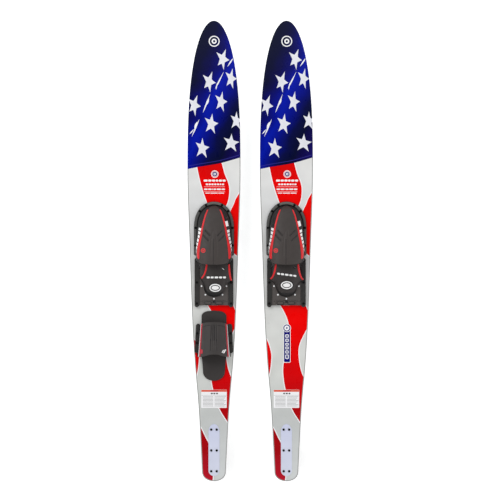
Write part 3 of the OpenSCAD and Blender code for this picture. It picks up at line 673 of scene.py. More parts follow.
def printed_deck(side):
    """The glossy top sheet with its flag print."""
    outline = ski_outline()
    far = 130
    edges = (STRIPE_1_LEFT, STRIPE_1_RIGHT, STRIPE_2_LEFT, STRIPE_3_LEFT, STRIPE_3_RIGHT, LENS_RIGHT,
             TAIL_RIGHT)
    paint = [(ribbon(edge, RIBBON_W), WHITE) for edge in edges]
    for parts in ([STRIPE_1_LEFT, STRIPE_1_RIGHT[::-1]],
                  [STRIPE_2_LEFT, [(far, -26), (far, 250)]],
                  [STRIPE_3_LEFT, [(far, -680), (far, -560)], STRIPE_3_RIGHT[::-1]],
                  [LENS_RIGHT, [(-far, -505), (-far, -295)]],
                  [TAIL_RIGHT, [(-far, -875), (-far, -636)]]):
        paint.append((np.vstack(parts), RED))
    paint += [(np.vstack([HEM_LINE, [(far, 900), (-far, 900)]]), BLUE),
              (ribbon(HEM_LINE + (0, 10.5), 1.8), HEM)]
    paint += [(loop, STAR) for loop in STARS] + [(loop, WHITE) for loop in CREASES]
    paint += badge_paint(side) + label_paint()
    # The rim band and the walls are grey as painted shade of the rounded edge; the blue, stars and hem keep
    # their print.
    piece = plan_solid(outline, lambda x, y, d: deck_at(y) - rounded(d, DECK_EDGE_R),
                       lambda x, y, d: deck_at(y) - SHEET_T, PRINT, bevel_insets(DECK_EDGE_R, 3) + [RIM_W],
                       paint=paint, points=lattice(outline, 16, 12), wall_mark=EDGE_SHADE,
                       rim=(RIM_W, EDGE_SHADE, (BLUE, STAR, HEM)))
    pair_piece(piece, side, "printed_deck", "ski", "top_sheet", "top_sheet")


# ---- pieces kept from the CAD

def soften(node, width, material):
    """Gives a CAD node rounded edges and a finish."""
    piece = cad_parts[node]
    piece.data.materials.clear()
    piece.data.materials.append(material)
    piece.modifiers.new("weld", "WELD").merge_threshold = 0.002 * MM
    if width:
        flat = piece.modifiers.new("flat_faces", "DECIMATE")
        flat.decimate_type = "DISSOLVE"
        flat.angle_limit = math.radians(0.5)
        bevel = piece.modifiers.new("rounded_edges", "BEVEL")
        bevel.width = width * MM
        bevel.segments = 2
        bevel.limit_method = "ANGLE"
        bevel.angle_limit = math.radians(35)
        bevel.harden_normals = True


KEPT = [(0, FOAM_CORE, "foam_core", "core"), (0, BRASS, "brass_insert", "inserts"),
        (0.2, STEEL, "steel", "rack", "rack_screws"), (0.5, CARRIAGE_GREY, "carriage_plate", "carriage"),
        (0.2, DARK_STEEL, "steel", "lever_pin"), (0, DARK_STEEL, "steel", "lever_spring"),
        (0.25, BLACK_SCREW, "black_screw", "frame_screws", "rail_screws", "fin_screws"),
        (0.25, RIVET_STEEL, "steel", "heel_rivets"),
        (1.6, RAIL_BLACK, "black_plastic", "outer_rail", "inner_rail"),
        (0.5, LEVER_GREY, "grey_plastic", "lock_lever"),
        (0.7, RETAINER_GREY, "grey_plastic", "heel_retainer")]
REAR_KEPT = [(1.4, RAIL_BLACK, "black_plastic", "rear_outer_bracket", "rear_inner_bracket"),
             (0.25, BLACK_SCREW, "black_screw", "rear_bracket_screws")]


# ---- surfaces of the boots

def normals_at(surface_of, u, v, e=0.004):
    """Outward unit normals of a surface at arrays u, v."""
    du = surface_of(u + e, v) - surface_of(u - e, v)
    dv = surface_of(u, v + e) - surface_of(u, v - e)
    return unit(np.cross(du, dv))


def places_on(surface_of, us, vs):
    """A function that finds the u, v of a surface under plan points x, y."""
    gu, gv = np.meshgrid(us, vs)
    sample = surface_of(gu, gv)

    def find(x, y):
        x, y = np.asarray(x, float), np.asarray(y, float)
        far = (x[:, None] - sample[..., 0].ravel()) ** 2 + (y[:, None] - sample[..., 1].ravel()) ** 2
        nearest = far.argmin(1)
        u, v = gu.ravel()[nearest].copy(), gv.ravel()[nearest].copy()
        e = 1e-4
        for _ in range(12):
            p = surface_of(u, v)
            pu = (surface_of(u + e, v) - p) / e
            pv = (surface_of(u, v + e) - p) / e
            dx, dy = x - p[:, 0], y - p[:, 1]
            det = pu[:, 0] * pv[:, 1] - pv[:, 0] * pu[:, 1]
            det = np.where(np.abs(det) < 1e-6, 1e-6, det)
            u = np.clip(u + 0.8 * (dx * pv[:, 1] - pv[:, 0] * dy) / det, us[0], us[-1])
            v = np.clip(v + 0.8 * (pu[:, 0] * dy - dx * pu[:, 1]) / det, vs[0], vs[-1])
        return u, v
    return find


def drape(loops, surface_of, material, find=None, low=-0.3, high=0.3, spacing=2.0, hole=None):
    """Thin closed pieces lying on a surface. Loops are in plan when find is given, else in u, v.

    hole is the inner loop of the first one, for a ring.
    """
    points, faces = [], []
    for i, loop in enumerate(loops):
        holes = [ccw(hole)] if hole is not None and i == 0 else []
        flat, triangles, _ = plan_triangles(ccw(loop), holes, [], [], lattice(ccw(loop), spacing, spacing))
        u, v = find(flat[:, 0], flat[:, 1]) if find else (flat[:, 0], flat[:, 1])
        p, n = surface_of(u, v), normals_at(surface_of, u, v)
        a, b, c = triangles[0]
        if np.cross(p[b] - p[a], p[c] - p[a]) @ n[a] < 0:
            triangles = [t[::-1] for t in triangles]
        faces += [tuple(k + len(points) for k in f) for f in closed(triangles, len(flat))]
        points += [*(p + n * high), *(p + n * low)]
    return add_mesh(points, faces, [material], sharp=50, weighted=False)


def round_off(gap, radius, least):
    """From 0 at an edge to 1 at the radius from it, along a quarter circle, but at least sqrt(least)."""
    return np.sqrt(np.clip(1 - np.clip(1 - gap / radius, 0, 1) ** 2, least, 1))


def pinch(outer, inner, both_ends=False):
    """Rounds a shell's last row, or both end rows, by drawing its two faces together there."""
    middle = (outer + inner) / 2
    steps = np.linalg.norm(np.diff(middle, axis=0), axis=2)
    down = np.vstack([np.zeros(steps.shape[1]), np.cumsum(steps, 0)])
    gap = down[-1] - down
    share = round_off(np.minimum(gap, down) if both_ends else gap, RUBBER_T / 2, 0.02)[..., None]
    return middle + (outer - middle) * share, middle + (inner - middle) * share


def grooves(x, y, lines, width, depth):
    """How deep rounded grooves along the lines are at plan points; a negative depth makes ridges."""
    deep = np.zeros(np.shape(x))
    p = np.stack([x, y], -1)
    for line in lines:
        line = np.array(line, float)
        for a, b in zip(line[:-1], line[1:]):
            t = np.clip(((p - a) @ (b - a)) / ((b - a) @ (b - a)), 0, 1)
            near = np.linalg.norm(p - a - t[..., None] * (b - a), axis=-1) / (width / 2)
            deep = np.maximum(deep, np.clip(1 - near ** 2, 0, 1))
    return deep * depth


def fine_to(a, b, count, edge=(0.15, 0.45, 0.9, 1.4, 2.0)):
    """Stations from a to b, closer together near b."""
    step = np.sign(b - a)
    rough = np.linspace(a, b - step * 3, count)
    return np.concatenate([rough, b - step * np.array(edge[::-1]), [b]])


def with_flange(outer, inner, ys, half_width):
    """The two grids of an arched cover, with a flat flange added along both of its feet."""
    feet = [np.column_stack([s * half_width, ys, np.full(len(ys), DECK)])[:, None] for s in (1, -1)]
    lift = (0, 0, FLANGE_T)
    return (np.concatenate([feet[0] + lift, outer, feet[1] + lift], 1),
            np.concatenate([feet[0], inner, feet[1]], 1))


def end_taper(stations, length):
    """1 along a band, falling round to almost 0 at both ends, for stations in millimetres."""
    gap = np.minimum(np.abs(stations - stations[0]), np.abs(stations - stations[-1]))
    return round_off(gap, length, 0.03)[:, None]


BAND_ROOT = 0.6             # how deep a band sits in the surface under it


def raised(p, n, across, taper, low, crown):
    """Outer and inner grid of a band with a round top. across runs from -1 to 1 over its width."""
    high = (low + crown * np.sqrt(1 - (across * 0.98) ** 2)) * taper
    return p + n * high[..., None], p - n * BAND_ROOT


def side_bands(surface_of, ys, angles, across, taper, low, crown):
    """Parts of a band on the right of an arched surface, and of its mirror image on the left."""
    return [raised(surface_of(ys, a), normals_at(surface_of, ys, a), across, taper, low, crown)
            for a in (angles, (180 - angles)[:, ::-1])]


def vault(w, height, a, bulge, grow):
    """x and z of the arch over half width w at angle a. grow is below 0 for the inner face."""
    x = w * np.sign(np.cos(a)) * np.abs(np.cos(a)) ** (2 / bulge)
    z = height * np.clip(np.sin(a), 0, 1) ** (2 / bulge)
    return x, z, DECK + z + (np.minimum(z, FLANGE_T) if grow < 0 else FLANGE_T)


def net(rows, cols):
    """Grids of both coordinates, one row for each of rows."""
    return np.meshgrid(rows, cols, indexing="ij")


# ---- toe frame and toe cover

FRAME_W = (box_mm("left_toe_frame")[1][0] - box_mm("left_toe_frame")[0][0]) / 2
FRAME_BAND, FRAME_H, APEX, BEND, LIMB_END, FRAME_POWER = 12.5, 9, 187, 110, -9.8, 2.6
FLANGE_T, FLANGE_W, GAP = 3, 2.8, 0.9
RUBBER_T = 3.4
COVER_FRONT, COVER_REAR, OVERHANG, COVER_POWER = 176.6, -16.5, 34.5, 2.8
COVER_H = box_mm("left_toe_cover")[1][2] - DECK
COVER_RISE = [(0, 0), (9, 0.28), (35, 0.52), (100, 0.78), (160, 0.93), (200, 1)]
COVER_SWELL = 11
BAND_X = [(-17, 54), (-12, 57), (-4, 59.5), (8, 60), (22, 58.3), (44, 53.5), (66, 48), (85, 44.5),
          (103, 40.5), (133, 32.5), (152, 25), (158, 22)]
BAND_HALF = [(-9, 4.4), (0, 6), (15, 5.6), (40, 4), (75, 3.3), (155, 2.5)]
DASH_WIDTH = [(0, 3.6), (60, 6), (80, 9), (113, 10)]
PAD_T = 4
HEAD_R, HEAD_H = 4.5, 2.4
FRAME_SCREWS = [(s * x, y) for s in (-1, 1)
                for x, y in ((69.2, 88), (69.2, 22), (53.3, 150.5), (30, 172.8))]


def frame_half(y, inward):
    return (FRAME_W - inward) * rounded_end(APEX - inward - y, BEND - inward, FRAME_POWER)


def arch(inward, y0):
    """Open curve round the frame's front, from its right end at y0 to its left end."""
    q = np.radians(np.linspace(90, 0, 40))
    w = FRAME_W - inward
    right = columns(w * np.sin(q), APEX - BEND + (BEND - inward) * np.cos(q) ** (2 / FRAME_POWER))
    straight = np.array([(w, y) for y in np.linspace(y0, APEX - BEND, 12)[:-1]])
    half = np.vstack([straight, right])
    return np.vstack([half, half[-2::-1] * (-1, 1)])


def toe_frame(side):
    """Horseshoe that clamps the toe cover: a grey top with sunk screws, a paler painted highlight on its
    nose, and a lower black inner lip whose black is partly painted shade. Its walls, a band round its
    outline and its screw recesses are black as painted shade.
    """
    lip, lip_drop, recess_r, edge_r, ridge_h = 2.0, 1.6, HEAD_R + 0.3, 2.2, 0.7
    a, r = np.radians(np.linspace(0, 180, 13))[1:-1], FRAME_BAND / 2
    cap = columns(r - FRAME_W - r * np.cos(a), LIMB_END - r * np.sin(a))
    outline = np.vstack([arch(0, LIMB_END), cap, arch(FRAME_BAND, LIMB_END)[::-1], cap[::-1] * (-1, 1)])
    # Painted highlight: a paler patch over the nose of the frame.
    highlight_patch = [(-24, APEX - 20), (39, APEX - 20), (39, APEX + 5), (-24, APEX + 5)]
    paint = [(highlight_patch, 2), (arch(FRAME_BAND - lip, -30), 1)]
    # Painted shade: each screw recess is near-black inside a thin grey ring.
    paint += [(circle(x, y, recess_r + 0.5, 24), 0) for x, y in FRAME_SCREWS]
    paint += [(circle(x, y, recess_r, 24), 1) for x, y in FRAME_SCREWS]

    def top(x, y, d):
        inner = np.abs(x) < frame_half(np.minimum(y, APEX - 9), FRAME_BAND - lip) + 0.05
        inner &= (y < APEX - FRAME_BAND + lip + 0.05)
        ridge = ridge_h * (np.clip((d - 3.2) / 1.6, 0, 1) - 1)
        high = DECK + FRAME_H + ridge - np.where(inner, lip_drop, 0) - rounded(d, edge_r)
        for sx, sy in FRAME_SCREWS:
            near = np.hypot(x - sx, y - sy) < recess_r + 0.1
            high = np.where(near, DECK + FRAME_H - HEAD_H, high)
        return high

    # Painted shade: near-black walls and a 1.5 mm band round the outline.
    piece = plan_solid(outline, top, lambda x, y, d: DECK + rounded(d, 0.3),
                       [FRAME_GREY, FRAME_LIP_AND_SHADE, FRAME_HIGHLIGHT], bevel_insets(edge_r) + [1.5, 3.2, 4.8],
                       paint=paint, lines=[arch(FRAME_BAND - lip - 1.2, -30)], wall_mark=1, rim=(1.5, 1, ()))
    pair_piece(piece, side, "toe_horseshoe", "ski", "frame_plastic", "toe_frame")


def cover_surface(y, a, grow=0.0):
    """Points of the toe cover over base station y, at angle a in degrees from its right foot."""
    y, a = np.broadcast_arrays(np.asarray(y, float), np.radians(np.clip(a, 0, 180)))
    w = np.maximum(2, frame_half(y - grow, FRAME_BAND + GAP) + grow)
    share = np.minimum(a, math.pi - a) * 2 / math.pi
    w = w + COVER_SWELL * np.interp(y, (15, 100), (1, 0)) * 4 * share * (1 - share)
    full = COVER_H * spline(COVER_RISE, np.maximum(0, APEX - FRAME_BAND - y))
    x, z, height = vault(w, np.maximum(0, full + grow - FLANGE_T), a, COVER_POWER, grow)
    back = (COVER_FRONT - y) / (COVER_FRONT - COVER_REAR)
    return np.stack([x, y - OVERHANG * back ** 3 * z / (COVER_H - FLANGE_T), height], -1)


def cover_angle(y, x):
    """Angle at which the cover, rising from its widest point, is back at the half width x."""
    a = np.linspace(0, 90, 181)
    reach = cover_surface(y, a)[:, 0]
    widest = reach.argmax()
    return np.interp(-x, -reach[widest:], a[widest:])


BAND_Y = np.linspace(-17, 158, 60)
BAND_A = np.array([cover_angle(y, lookup(BAND_X, y)) for y in BAND_Y])


def band_angle(y):
    """Angle of the middle of the red band over station y."""
    return np.interp(y, BAND_Y, BAND_A)


TOE_CHEVRONS = [((s * x0, y0), (s * x1, y1)) for s in (-1, 1)
                for x0, y0, x1, y1 in ((32, 78, 15, 60), (41, 61, 20, 40))]
TOE_KEEL = [((s * 3, 84), (s * 8, 58), (s * 12, 20), (s * 12, -14)) for s in (-1, 1)]
TOE_CENTRE = [((0, 46), (0, -48))]


def toe_cover(side):
    """Moulded rubber toe: a grey top between the two bands, black cheeks outside them, and grooves painted
    darker as shade.
    """
    ys = fine_to(COVER_FRONT, COVER_REAR, 120)
    ys[:40] = COVER_FRONT - (COVER_FRONT - ys[39]) * (np.arange(40) / 39) ** 1.4
    a = np.linspace(0, 180, 151)
    gy, ga = net(ys, a)
    outer, inner = cover_surface(gy, ga), cover_surface(gy, ga, -RUBBER_T)
    x, y = outer[..., 0], outer[..., 1]
    seam = grooves(x, y, TOE_CENTRE, 2.8, 1)
    relief = grooves(x, y, TOE_CENTRE, 11, 1.3) - 1.6 * seam - grooves(x, y, TOE_CHEVRONS, 7, 3)
    relief -= grooves(x, y, TOE_KEEL, 4.6, 0.8)
    on_top = np.clip((ga - band_angle(gy) - 4) / 6, 0, 1) * np.clip((176 - ga - band_angle(gy)) / 6, 0, 1)
    push = normals_of(outer) * (relief * on_top)[..., None]
    outer, inner = outer + push, inner + push
    outer, inner = with_flange(outer, inner, ys, np.maximum(frame_half(ys, FRAME_BAND - FLANGE_W), 0.5))
    cell_y = (ys[:-1] + ys[1:])[:, None] / 2
    cell_a = np.concatenate([[0], (a[:-1] + a[1:]) / 2, [180]])[None]
    bound = band_angle(cell_y) + np.maximum(0, cell_y - 155) * 0.6
    marks = ((cell_a < bound) | (cell_a > 180 - bound)).astype(int)
    # Painted shade: sunk grooves and the centre seam on the top are darker.
    sunk = ((relief < -0.9) | (seam > 0.35))[:-1, :-1] & (on_top[:-1, :-1] > 0.5)
    marks[:, 1:-1][sunk] = 2
    piece = shells([pinch(outer, inner)], [BOOT_RUBBER, PANEL_BLACK_AND_SHADE, HEEL_RUBBER_AND_SHADE], marks)
    pair_piece(piece, side, "toe_boot", "ski", "boot_rubber", "toe_cover")


def toe_piping(side):
    """Raised red bands over the shoulders, wider towards the rear."""
    ys = np.linspace(157, -7, 110)
    gy, gt = net(ys, np.linspace(-1, 1, 13))
    taper = end_taper(ys, 6)
    step = cover_surface(gy, band_angle(gy) + 0.5) - cover_surface(gy, band_angle(gy) - 0.5)
    in_plan, on_side = np.linalg.norm(step[..., :2], axis=-1), np.linalg.norm(step, axis=-1)
    half = np.minimum(lookup(BAND_HALF, gy) / in_plan, 8 / on_side) * taper
    parts = side_bands(cover_surface, gy, band_angle(gy) + gt * half, gt, taper, 0.3, 1.5)
    pair_piece(shells(parts, [TRIM_RED]), side, "toe_bands", "ski", "red_trim", "toe_piping")


def toe_marks(side):
    """Plain white dashes down both cheeks, and a small red ring on the left of the top."""
    loops = []
    for mirror, spans in ((True, ((88, 79), (76, 66), (63, 54), (51, 41), (38, 29), (26, 16), (13, 4))),
                          (False, ((113, 94), (82, 72), (69, 60), (57, 47), (44, 35), (32, 22), (19, 10)))):
        for y1, y0 in spans:
            corners = []
            for y, off in ((y0, 0), (y1, 0), (y1, 1), (y0, 1)):
                near, reach = lookup(BAND_X, y) + lookup(BAND_HALF, y) + 0.4, lookup(DASH_WIDTH, y)
                a = cover_angle(y, near + off * reach)
                corners.append((y + 2.5 * off, 180 - a if mirror else a))
            loops.append(corners)
    white = drape(loops, cover_surface, MARK_WHITE, low=-0.2, spacing=1.6)
    pair_piece(white, side, "toe_cheek_dashes", "ski", "boot_rubber")
    find = places_on(cover_surface, np.linspace(-16, 170, 187), np.linspace(20, 160, 141))
    x, y = -40, 3
    ring = drape([circle(x, y, 8.5, 36), circle(x, y, 3.2, 24)], cover_surface, TRIM_RED, find,
                 low=-0.2, spacing=1.3, hole=circle(x, y, 5.2, 30))
    pair_piece(ring, side, "toe_ring_mark", "ski", "red_trim")


def foot_pad(side):
    piece = plate(arch(FRAME_BAND + 12, -42), DECK, DECK + PAD_T, 1.2, FOAM_PAD)
    pair_piece(piece, side, "foot_cushion", "ski", "foam_pad", "foot_pad")


# ---- heel

CARRIAGE_TOP = 8
BALL_X = [(0, 0), (0.3, 21), (0.55, 34), (0.72, 38.5), (0.85, 46), (1, 63)]
BALL_Y = [(0, -171), (0.3, -165), (0.55, -150), (0.72, -134), (0.85, -119), (1, -104)]
BALL_Z = [(0, 0), (0.62, 0), (0.85, 4.5), (1, 9)]
HEEL_TOP_W, HEEL_TOP_Y, HEEL_H = 45, -45, 47
HEEL_FLANGE_T = 1.8
LEAN = {"left": 14.5, "right": 2}
WING_SPREAD = {"left": -2.5, "right": 4.5}      # how much wider the soft wings stand at their feet
WING_SKEW = {"left": 5.5, "right": 1.5}         # how much further back the right wing's foot is


def heel_surface(side):
    """The heel cup: u runs from wing to wing, v from the base to the top edge."""
    lean, spread, skew = LEAN[side], WING_SPREAD[side], WING_SKEW[side]

    def at(u, v):
        u, v = np.broadcast_arrays(np.asarray(u, float), np.asarray(v, float))
        w, a = np.minimum(np.abs(u), 1), np.radians(90) * np.clip(v, 0, None)
        forward, up = 1 - np.cos(a), np.clip(np.sin(a), 0, 1) ** 0.85
        pull, wing = up * mix(forward, 1, 0.8 * w * w), w ** 6
        x = np.sign(u) * mix(spline(BALL_X, w) + spread * wing, HEEL_TOP_W * w, pull)
        y = mix(spline(BALL_Y, w) - skew * np.sign(u) * wing, HEEL_TOP_Y - 2 * w * w, forward)
        z = mix(CARRIAGE_TOP + np.maximum(0, spline(BALL_Z, w)), HEEL_H - 7 * w * w, up)
        return np.stack([x + lean * mix(0.65 * wing, 1, up), y, DECK + z], -1)
    return at


def heel_out(u):
    """Direction away from the ball, level, at the base of the cup."""
    foot = heel_surface("right")
    u = np.clip(u, -0.97, 0.97)
    d = foot(u + 0.01, 0) - foot(u - 0.01, 0)
    return unit(np.stack([d[..., 1], -d[..., 0], 0 * d[..., 0]], -1))


def heel_cup(side):
    """Moulded rubber heel with a flange under the clamp plate, and a black band of painted shade round its
    base.
    """
    f = heel_surface(side)
    u = np.sin(np.radians(np.linspace(-81, 81, 121))) / math.sin(math.radians(81))
    v = np.concatenate([np.linspace(0, 0.955, 64), [0.965, 0.975, 0.984, 0.991, 0.996, 1]])
    gu, gv = np.meshgrid(u, v)
    p = f(gu, gv)
    turn = np.radians(90) * gv[..., None]
    away = np.cos(turn) * heel_out(gu) + np.sin(turn) * (0, 0, 1)
    lift = np.array((0, 0, HEEL_FLANGE_T))
    ridge = grooves(p[..., 0] - LEAN[side], p[..., 1], [((-30, -58), (30, -58))], 2.4, 0.7)
    outer, inner = p - away * ridge[..., None], p - away * RUBBER_T
    outer[0] = p[0] + lift
    reach = np.maximum(0.6, 4 * (1 - (u / 0.66) ** 4))[:, None]
    outer = np.concatenate([(p[0] + lift + away[0] * reach)[None], outer])
    inner = np.concatenate([(p[0] + away[0] * reach)[None], inner])
    cell_v = np.concatenate([[0], (v[:-1] + v[1:]) / 2])[:, None]
    cell_u = (u[:-1] + u[1:])[None] / 2
    # Painted shade: black cells along the base of the cup, deepest under the ball.
    dark = (cell_v < np.maximum(0.05, 0.31 * (1 - (cell_u / 0.8) ** 2))).astype(int)
    piece = shells([pinch(outer, inner)], [HEEL_RUBBER_AND_SHADE, PANEL_BLACK_AND_SHADE], dark)
    pair_piece(piece, side, "heel_boot", "heel_carriage", "boot_rubber", "heel_cup")


def heel_piping(side):
    """Red edging down both front edges of the heel."""
    f = heel_surface(side)
    v, width = np.linspace(0.1, 1.0, 70), 6.4
    gv, gt = net(v, np.linspace(-1, 1, 11))
    taper = end_taper(v * 90, 4)
    parts = []
    for s in (1, -1):
        stretch = np.linalg.norm(f(s * 0.99, gv) - f(s * 0.93, gv), axis=-1) / 0.06
        half = width / 2 / stretch
        u = s * (0.995 - half + gt * half * taper)[:, ::s]
        parts.append(raised(f(u, gv), normals_at(f, np.clip(u, -0.992, 0.992), gv), gt, taper, 0.3, 1.5))
    pair_piece(shells(parts, [TRIM_RED]), side, "heel_bands", "heel_carriage", "red_trim", "heel_piping")


EMBLEM = {"left": (5, -137), "right": (1, -127)}
HEEL_ROW = {"left": (9, -98, 0), "right": (1, -88, -0.13)}     # middle x, y and slope of the row of bars
EYELET = {"left": (34.5, -66), "right": (31, -60)}


def heel_marks(side):
    """A plain oval emblem, a row of bars and an eyelet with a painted glint."""
    f = heel_surface(side)
    find = places_on(f, np.linspace(-0.9, 0.9, 91), np.linspace(0.05, 1, 96))
    ex, ey = EMBLEM[side]
    rx, ry, slope = HEEL_ROW[side]
    row = [bar + (0, ry) + np.outer(bar[:, 0] - rx, (0, slope))
           for bar in bars(rx - 36, rx + 36, 0, 7, (5, 5, 6, 5, 5), 3.2)]
    x, y = EYELET[side]
    # Painted highlight: a slash of glint across the eyelet, white on the left heel, grey on the right.
    slash = ribbon(smooth_line([(x - 3.6, y + 2.8), (x, y), (x + 3.6, y - 2.8)], 3), 2.2)
    glint = MARK_WHITE if side == "left" else CARRIAGE_GREY
    for name, loops, material, how in (
            ("emblem_field", [ellipse(ex, ey, 26, 19)], PANEL_BLACK_AND_SHADE, {"high": 0.2}),
            ("emblem", [ellipse(ex, ey, 22, 15), ellipse(ex, ey, 14, 7.5)], MARK_WHITE,
             {"high": 0.45, "hole": ellipse(ex, ey, 17.5, 10.8)}),
            ("bars", row, MARK_WHITE, {}),
            ("eyelet", [circle(x, y, 6, 28)], PANEL_BLACK_AND_SHADE, {"high": 0.5, "spacing": 1.6}),
            ("eyelet_painted_glint", [slash], glint, {"low": 0, "high": 0.8, "spacing": 1})):
        piece = drape(loops, f, material, find, **how)
        pair_piece(piece, side, "heel_" + name, "heel_carriage", "boot_rubber")


def lever_grips(side):
    """Raised finger pads on the lock lever, each inside a dark border."""
    low = box_mm(side + "_lock_lever")[1][2]
    for i, x in enumerate((-23, 18.5)):
        for name, grow, high, material in (("border", 0, 0.25, PANEL_BLACK_AND_SHADE), ("pad", 2, 0.7, RETAINER_GREY)):
            loop = rounded_rect(x - 13.3 + grow, -199.8 + grow, x + 13.3 - grow, -188.4 - grow, 3.6 - grow)
            piece = plate(loop, low - 0.2, low + high, 0.2, material, 0.05)
            pair_piece(piece, side, "lever_%s_%d" % (name, i + 1), "lock_lever", "grey_plastic")


def heel_pad(side):
    r, y, low = 28, -132, DECK + CARRIAGE_TOP
    a = np.radians(np.linspace(180, 360, 40))
    outline = np.vstack([columns(r * np.cos(a), y + r * np.sin(a)), [(r, -48), (-r, -48)]])
    piece = plate(outline, low, low + PAD_T, 1.2, FOAM_PAD)
    pair_piece(piece, side, "heel_cushion", "heel_carriage", "foam_pad", "heel_pad")


# ---- rear toe strap

STRAP_Y = (-278, -396)
STRAP_FOOT = (50.6, 59.6)
STRAP_FLANGE_W, STRAP_POWER = 3.6, 2.5
STRAP_H = (46, box_mm("rear_strap")[1][2] - DECK)


def strap_half(y):
    return mix(*STRAP_FOOT, (y - STRAP_Y[0]) / (STRAP_Y[1] - STRAP_Y[0]))


def strap_surface(y, a, grow=0.0):
    """Points of the rear strap over base station y, at angle a in degrees from its right foot."""
    y, a = np.broadcast_arrays(np.asarray(y, float), np.radians(np.clip(a, 0, 180)))
    share = (y - STRAP_Y[0]) / (STRAP_Y[1] - STRAP_Y[0])
    lift = np.clip(np.sin(a), 0, 1)
    x, _, height = vault(strap_half(y) + grow, mix(*STRAP_H, share) + grow - FLANGE_T, a, STRAP_POWER, grow)
    return np.stack([x, y + mix(13 * lift, 9 * lift ** 8, share), height], -1)


def rear_strap():
    """Moulded rubber strap whose seams between the ribs of its crown are painted dark as shade."""
    ys = np.concatenate([STRAP_Y[0] - np.array([0, 0.15, 0.45, 0.9, 1.4, 2]),
                         fine_to(STRAP_Y[0] - 3.5, STRAP_Y[1], 60)])
    a = np.linspace(0, 180, 131)
    gy, ga = net(ys, a)
    outer, inner = strap_surface(gy, ga), strap_surface(gy, ga, -RUBBER_T)
    x, y = outer[..., 0], outer[..., 1]
    ribs, seams = ([((at * 0.8, -275), (at, -372)) for at in places]
                   for places in ((-16, -8, 0, 8, 16), (-12, -4, 4, 12)))
    arcs = [((s * 15, -277), (s * 30, -279), (s * 41, -284)) for s in (-1, 1)]
    sunk = grooves(x, y, seams, 2.2, 1) + grooves(x, y, arcs, 2.6, 1)
    relief = grooves(x, y, ribs, 4, 1.2) - 0.8 * sunk
    outer = outer + normals_of(outer) * relief[..., None]
    outer, inner = with_flange(outer, inner, ys, strap_half(ys) + STRAP_FLANGE_W)
    # Painted shade: the seams and the two front arcs are black.
    dark = np.zeros((len(ys) - 1, len(a) + 1), int)
    dark[:, 1:-1] = sunk[:-1, :-1] > 0.4
    piece = shells([pinch(outer, inner, both_ends=True)], [STRAP_RUBBER, PANEL_BLACK_AND_SHADE], dark)
    finish_piece(piece, "left", "rear_toe_strap", "ski", "boot_rubber", "rear_strap")


def strap_band(name, low_a, high_a, crown, material, slot, *stands_for):
    """Raised bands down both sides of the rear strap between two angles."""
    ys = np.linspace(STRAP_Y[0] + 0.4, STRAP_Y[1] - 0.4, 70)
    gy, gt = net(ys, np.linspace(-1, 1, 11))
    taper = end_taper(ys, 3)
    angle = (low_a + high_a) / 2 + gt * (high_a - low_a) / 2 * taper
    piece = shells(side_bands(strap_surface, gy, angle, gt, taper, 0.25, crown), [material])
    finish_piece(piece, "left", name, "ski", slot, *stands_for)


def rear_marks():
    """A red patch and two white dashes on the strap's rear corners."""
    find = places_on(strap_surface, np.linspace(*STRAP_Y[::-1], 119), np.linspace(15, 165, 151))
    red = drape([rounded_rect(-55, -384, -42, -368, 4)], strap_surface, DEEP_RED, find)
    finish_piece(red, "left", "rear_strap_patch", "ski", "red_trim")
    white = drape([[(34, -382), (39, -382), (46, -368), (41, -368)],
                   [(29, -380), (33, -380), (38, -370), (34, -370)]], strap_surface, MARK_WHITE, find)
    finish_piece(white, "left", "rear_strap_dashes", "ski", "boot_rubber")


def rear_pad():
    """Rubber sole under the rear foot, with a shallow border groove."""
    low, high = box_mm("rear_foot_pad")
    w, narrow, front_w, front_len, border, groove = 46.8, 41, 30, 22, 6, 1.3
    y0, y1, rear_len = low[1], high[1], narrow * 0.8
    a, b = np.radians(np.arange(0, 91, 5)), np.radians(np.arange(7.5, 91, 7.5))
    outline = mirrored(np.vstack([
        columns(narrow * np.sin(a), y0 + rear_len * (1 - np.cos(a))),
        smooth_line([(narrow + 2.6, y0 + 70), (w, y0 + 110), (w, y1 - front_len)]),
        columns(w - front_w * (1 - np.cos(b)), y1 - 2 - (front_len - 2) * (1 - np.sin(b))), [(0, y1)]]))

    def top(x, y, d):
        return high[2] - rounded(d, 2.2) - 0.7 * np.clip(1 - ((d - border) / groove) ** 2, 0, 1)

    piece = plan_solid(outline, top, lambda x, y, d: low[2] + rounded(d, 0.4), [PAD_RUBBER],
                       bevel_insets(2.2) + [border + off for off in (-groove, -0.7, 0, 0.7, groove)])
    finish_piece(piece, "left", "rear_sole", "ski", "boot_rubber", "rear_foot_pad")


# ---- fin and its plate

PLATE_HALF = 41.5 / 2
PLATE_Y = (-844, -649)
PLATE_T = 1.6
FIN_SCREWS = [(s * 10.3, y) for s in (-1, 1) for y in (-826, -747.8, -669.6)]
BLADE_HALF, BLADE_EDGE = 2.5, 14     # half thickness, and the width of the foiled border


def capsule(d=0):
    """The plate's outline, d inside it."""
    w, front, rear = PLATE_HALF - d, 30, 21
    a = np.radians(np.arange(0, 91, 5))
    return mirrored(np.vstack([columns(w * np.sin(a), PLATE_Y[0] + d + rear * (1 - np.cos(a))),
                               columns(w * np.cos(a), PLATE_Y[1] - d - front * (1 - np.sin(a)))]))


def fin_plate(side):
    """Backing plate on the deck, with a ring pressed round every screw."""
    ring_r, ring_half, ring_depth, edge_r = 5.8, 0.8, 0.3, 0.9

    def top(x, y, d):
        near = np.min([np.abs(np.hypot(x - sx, y - sy) - ring_r) for sx, sy in FIN_SCREWS], 0) / ring_half
        return TAIL_DECK + PLATE_T - rounded(d, edge_r) - ring_depth * np.clip(1 - near ** 2, 0, 1)

    rings = [circle(x, y, ring_r + off * ring_half) for x, y in FIN_SCREWS for off in (-1, -0.5, 0, 0.5, 1)]
    piece = plan_solid(capsule(), top, lambda x, y, d: np.full(len(x), TAIL_DECK), [FIN_SILVER],
                       bevel_insets(edge_r, 3), lines=rings)
    pair_piece(piece, side, "fin_backing", "ski", "fin_plate", "fin_plate")


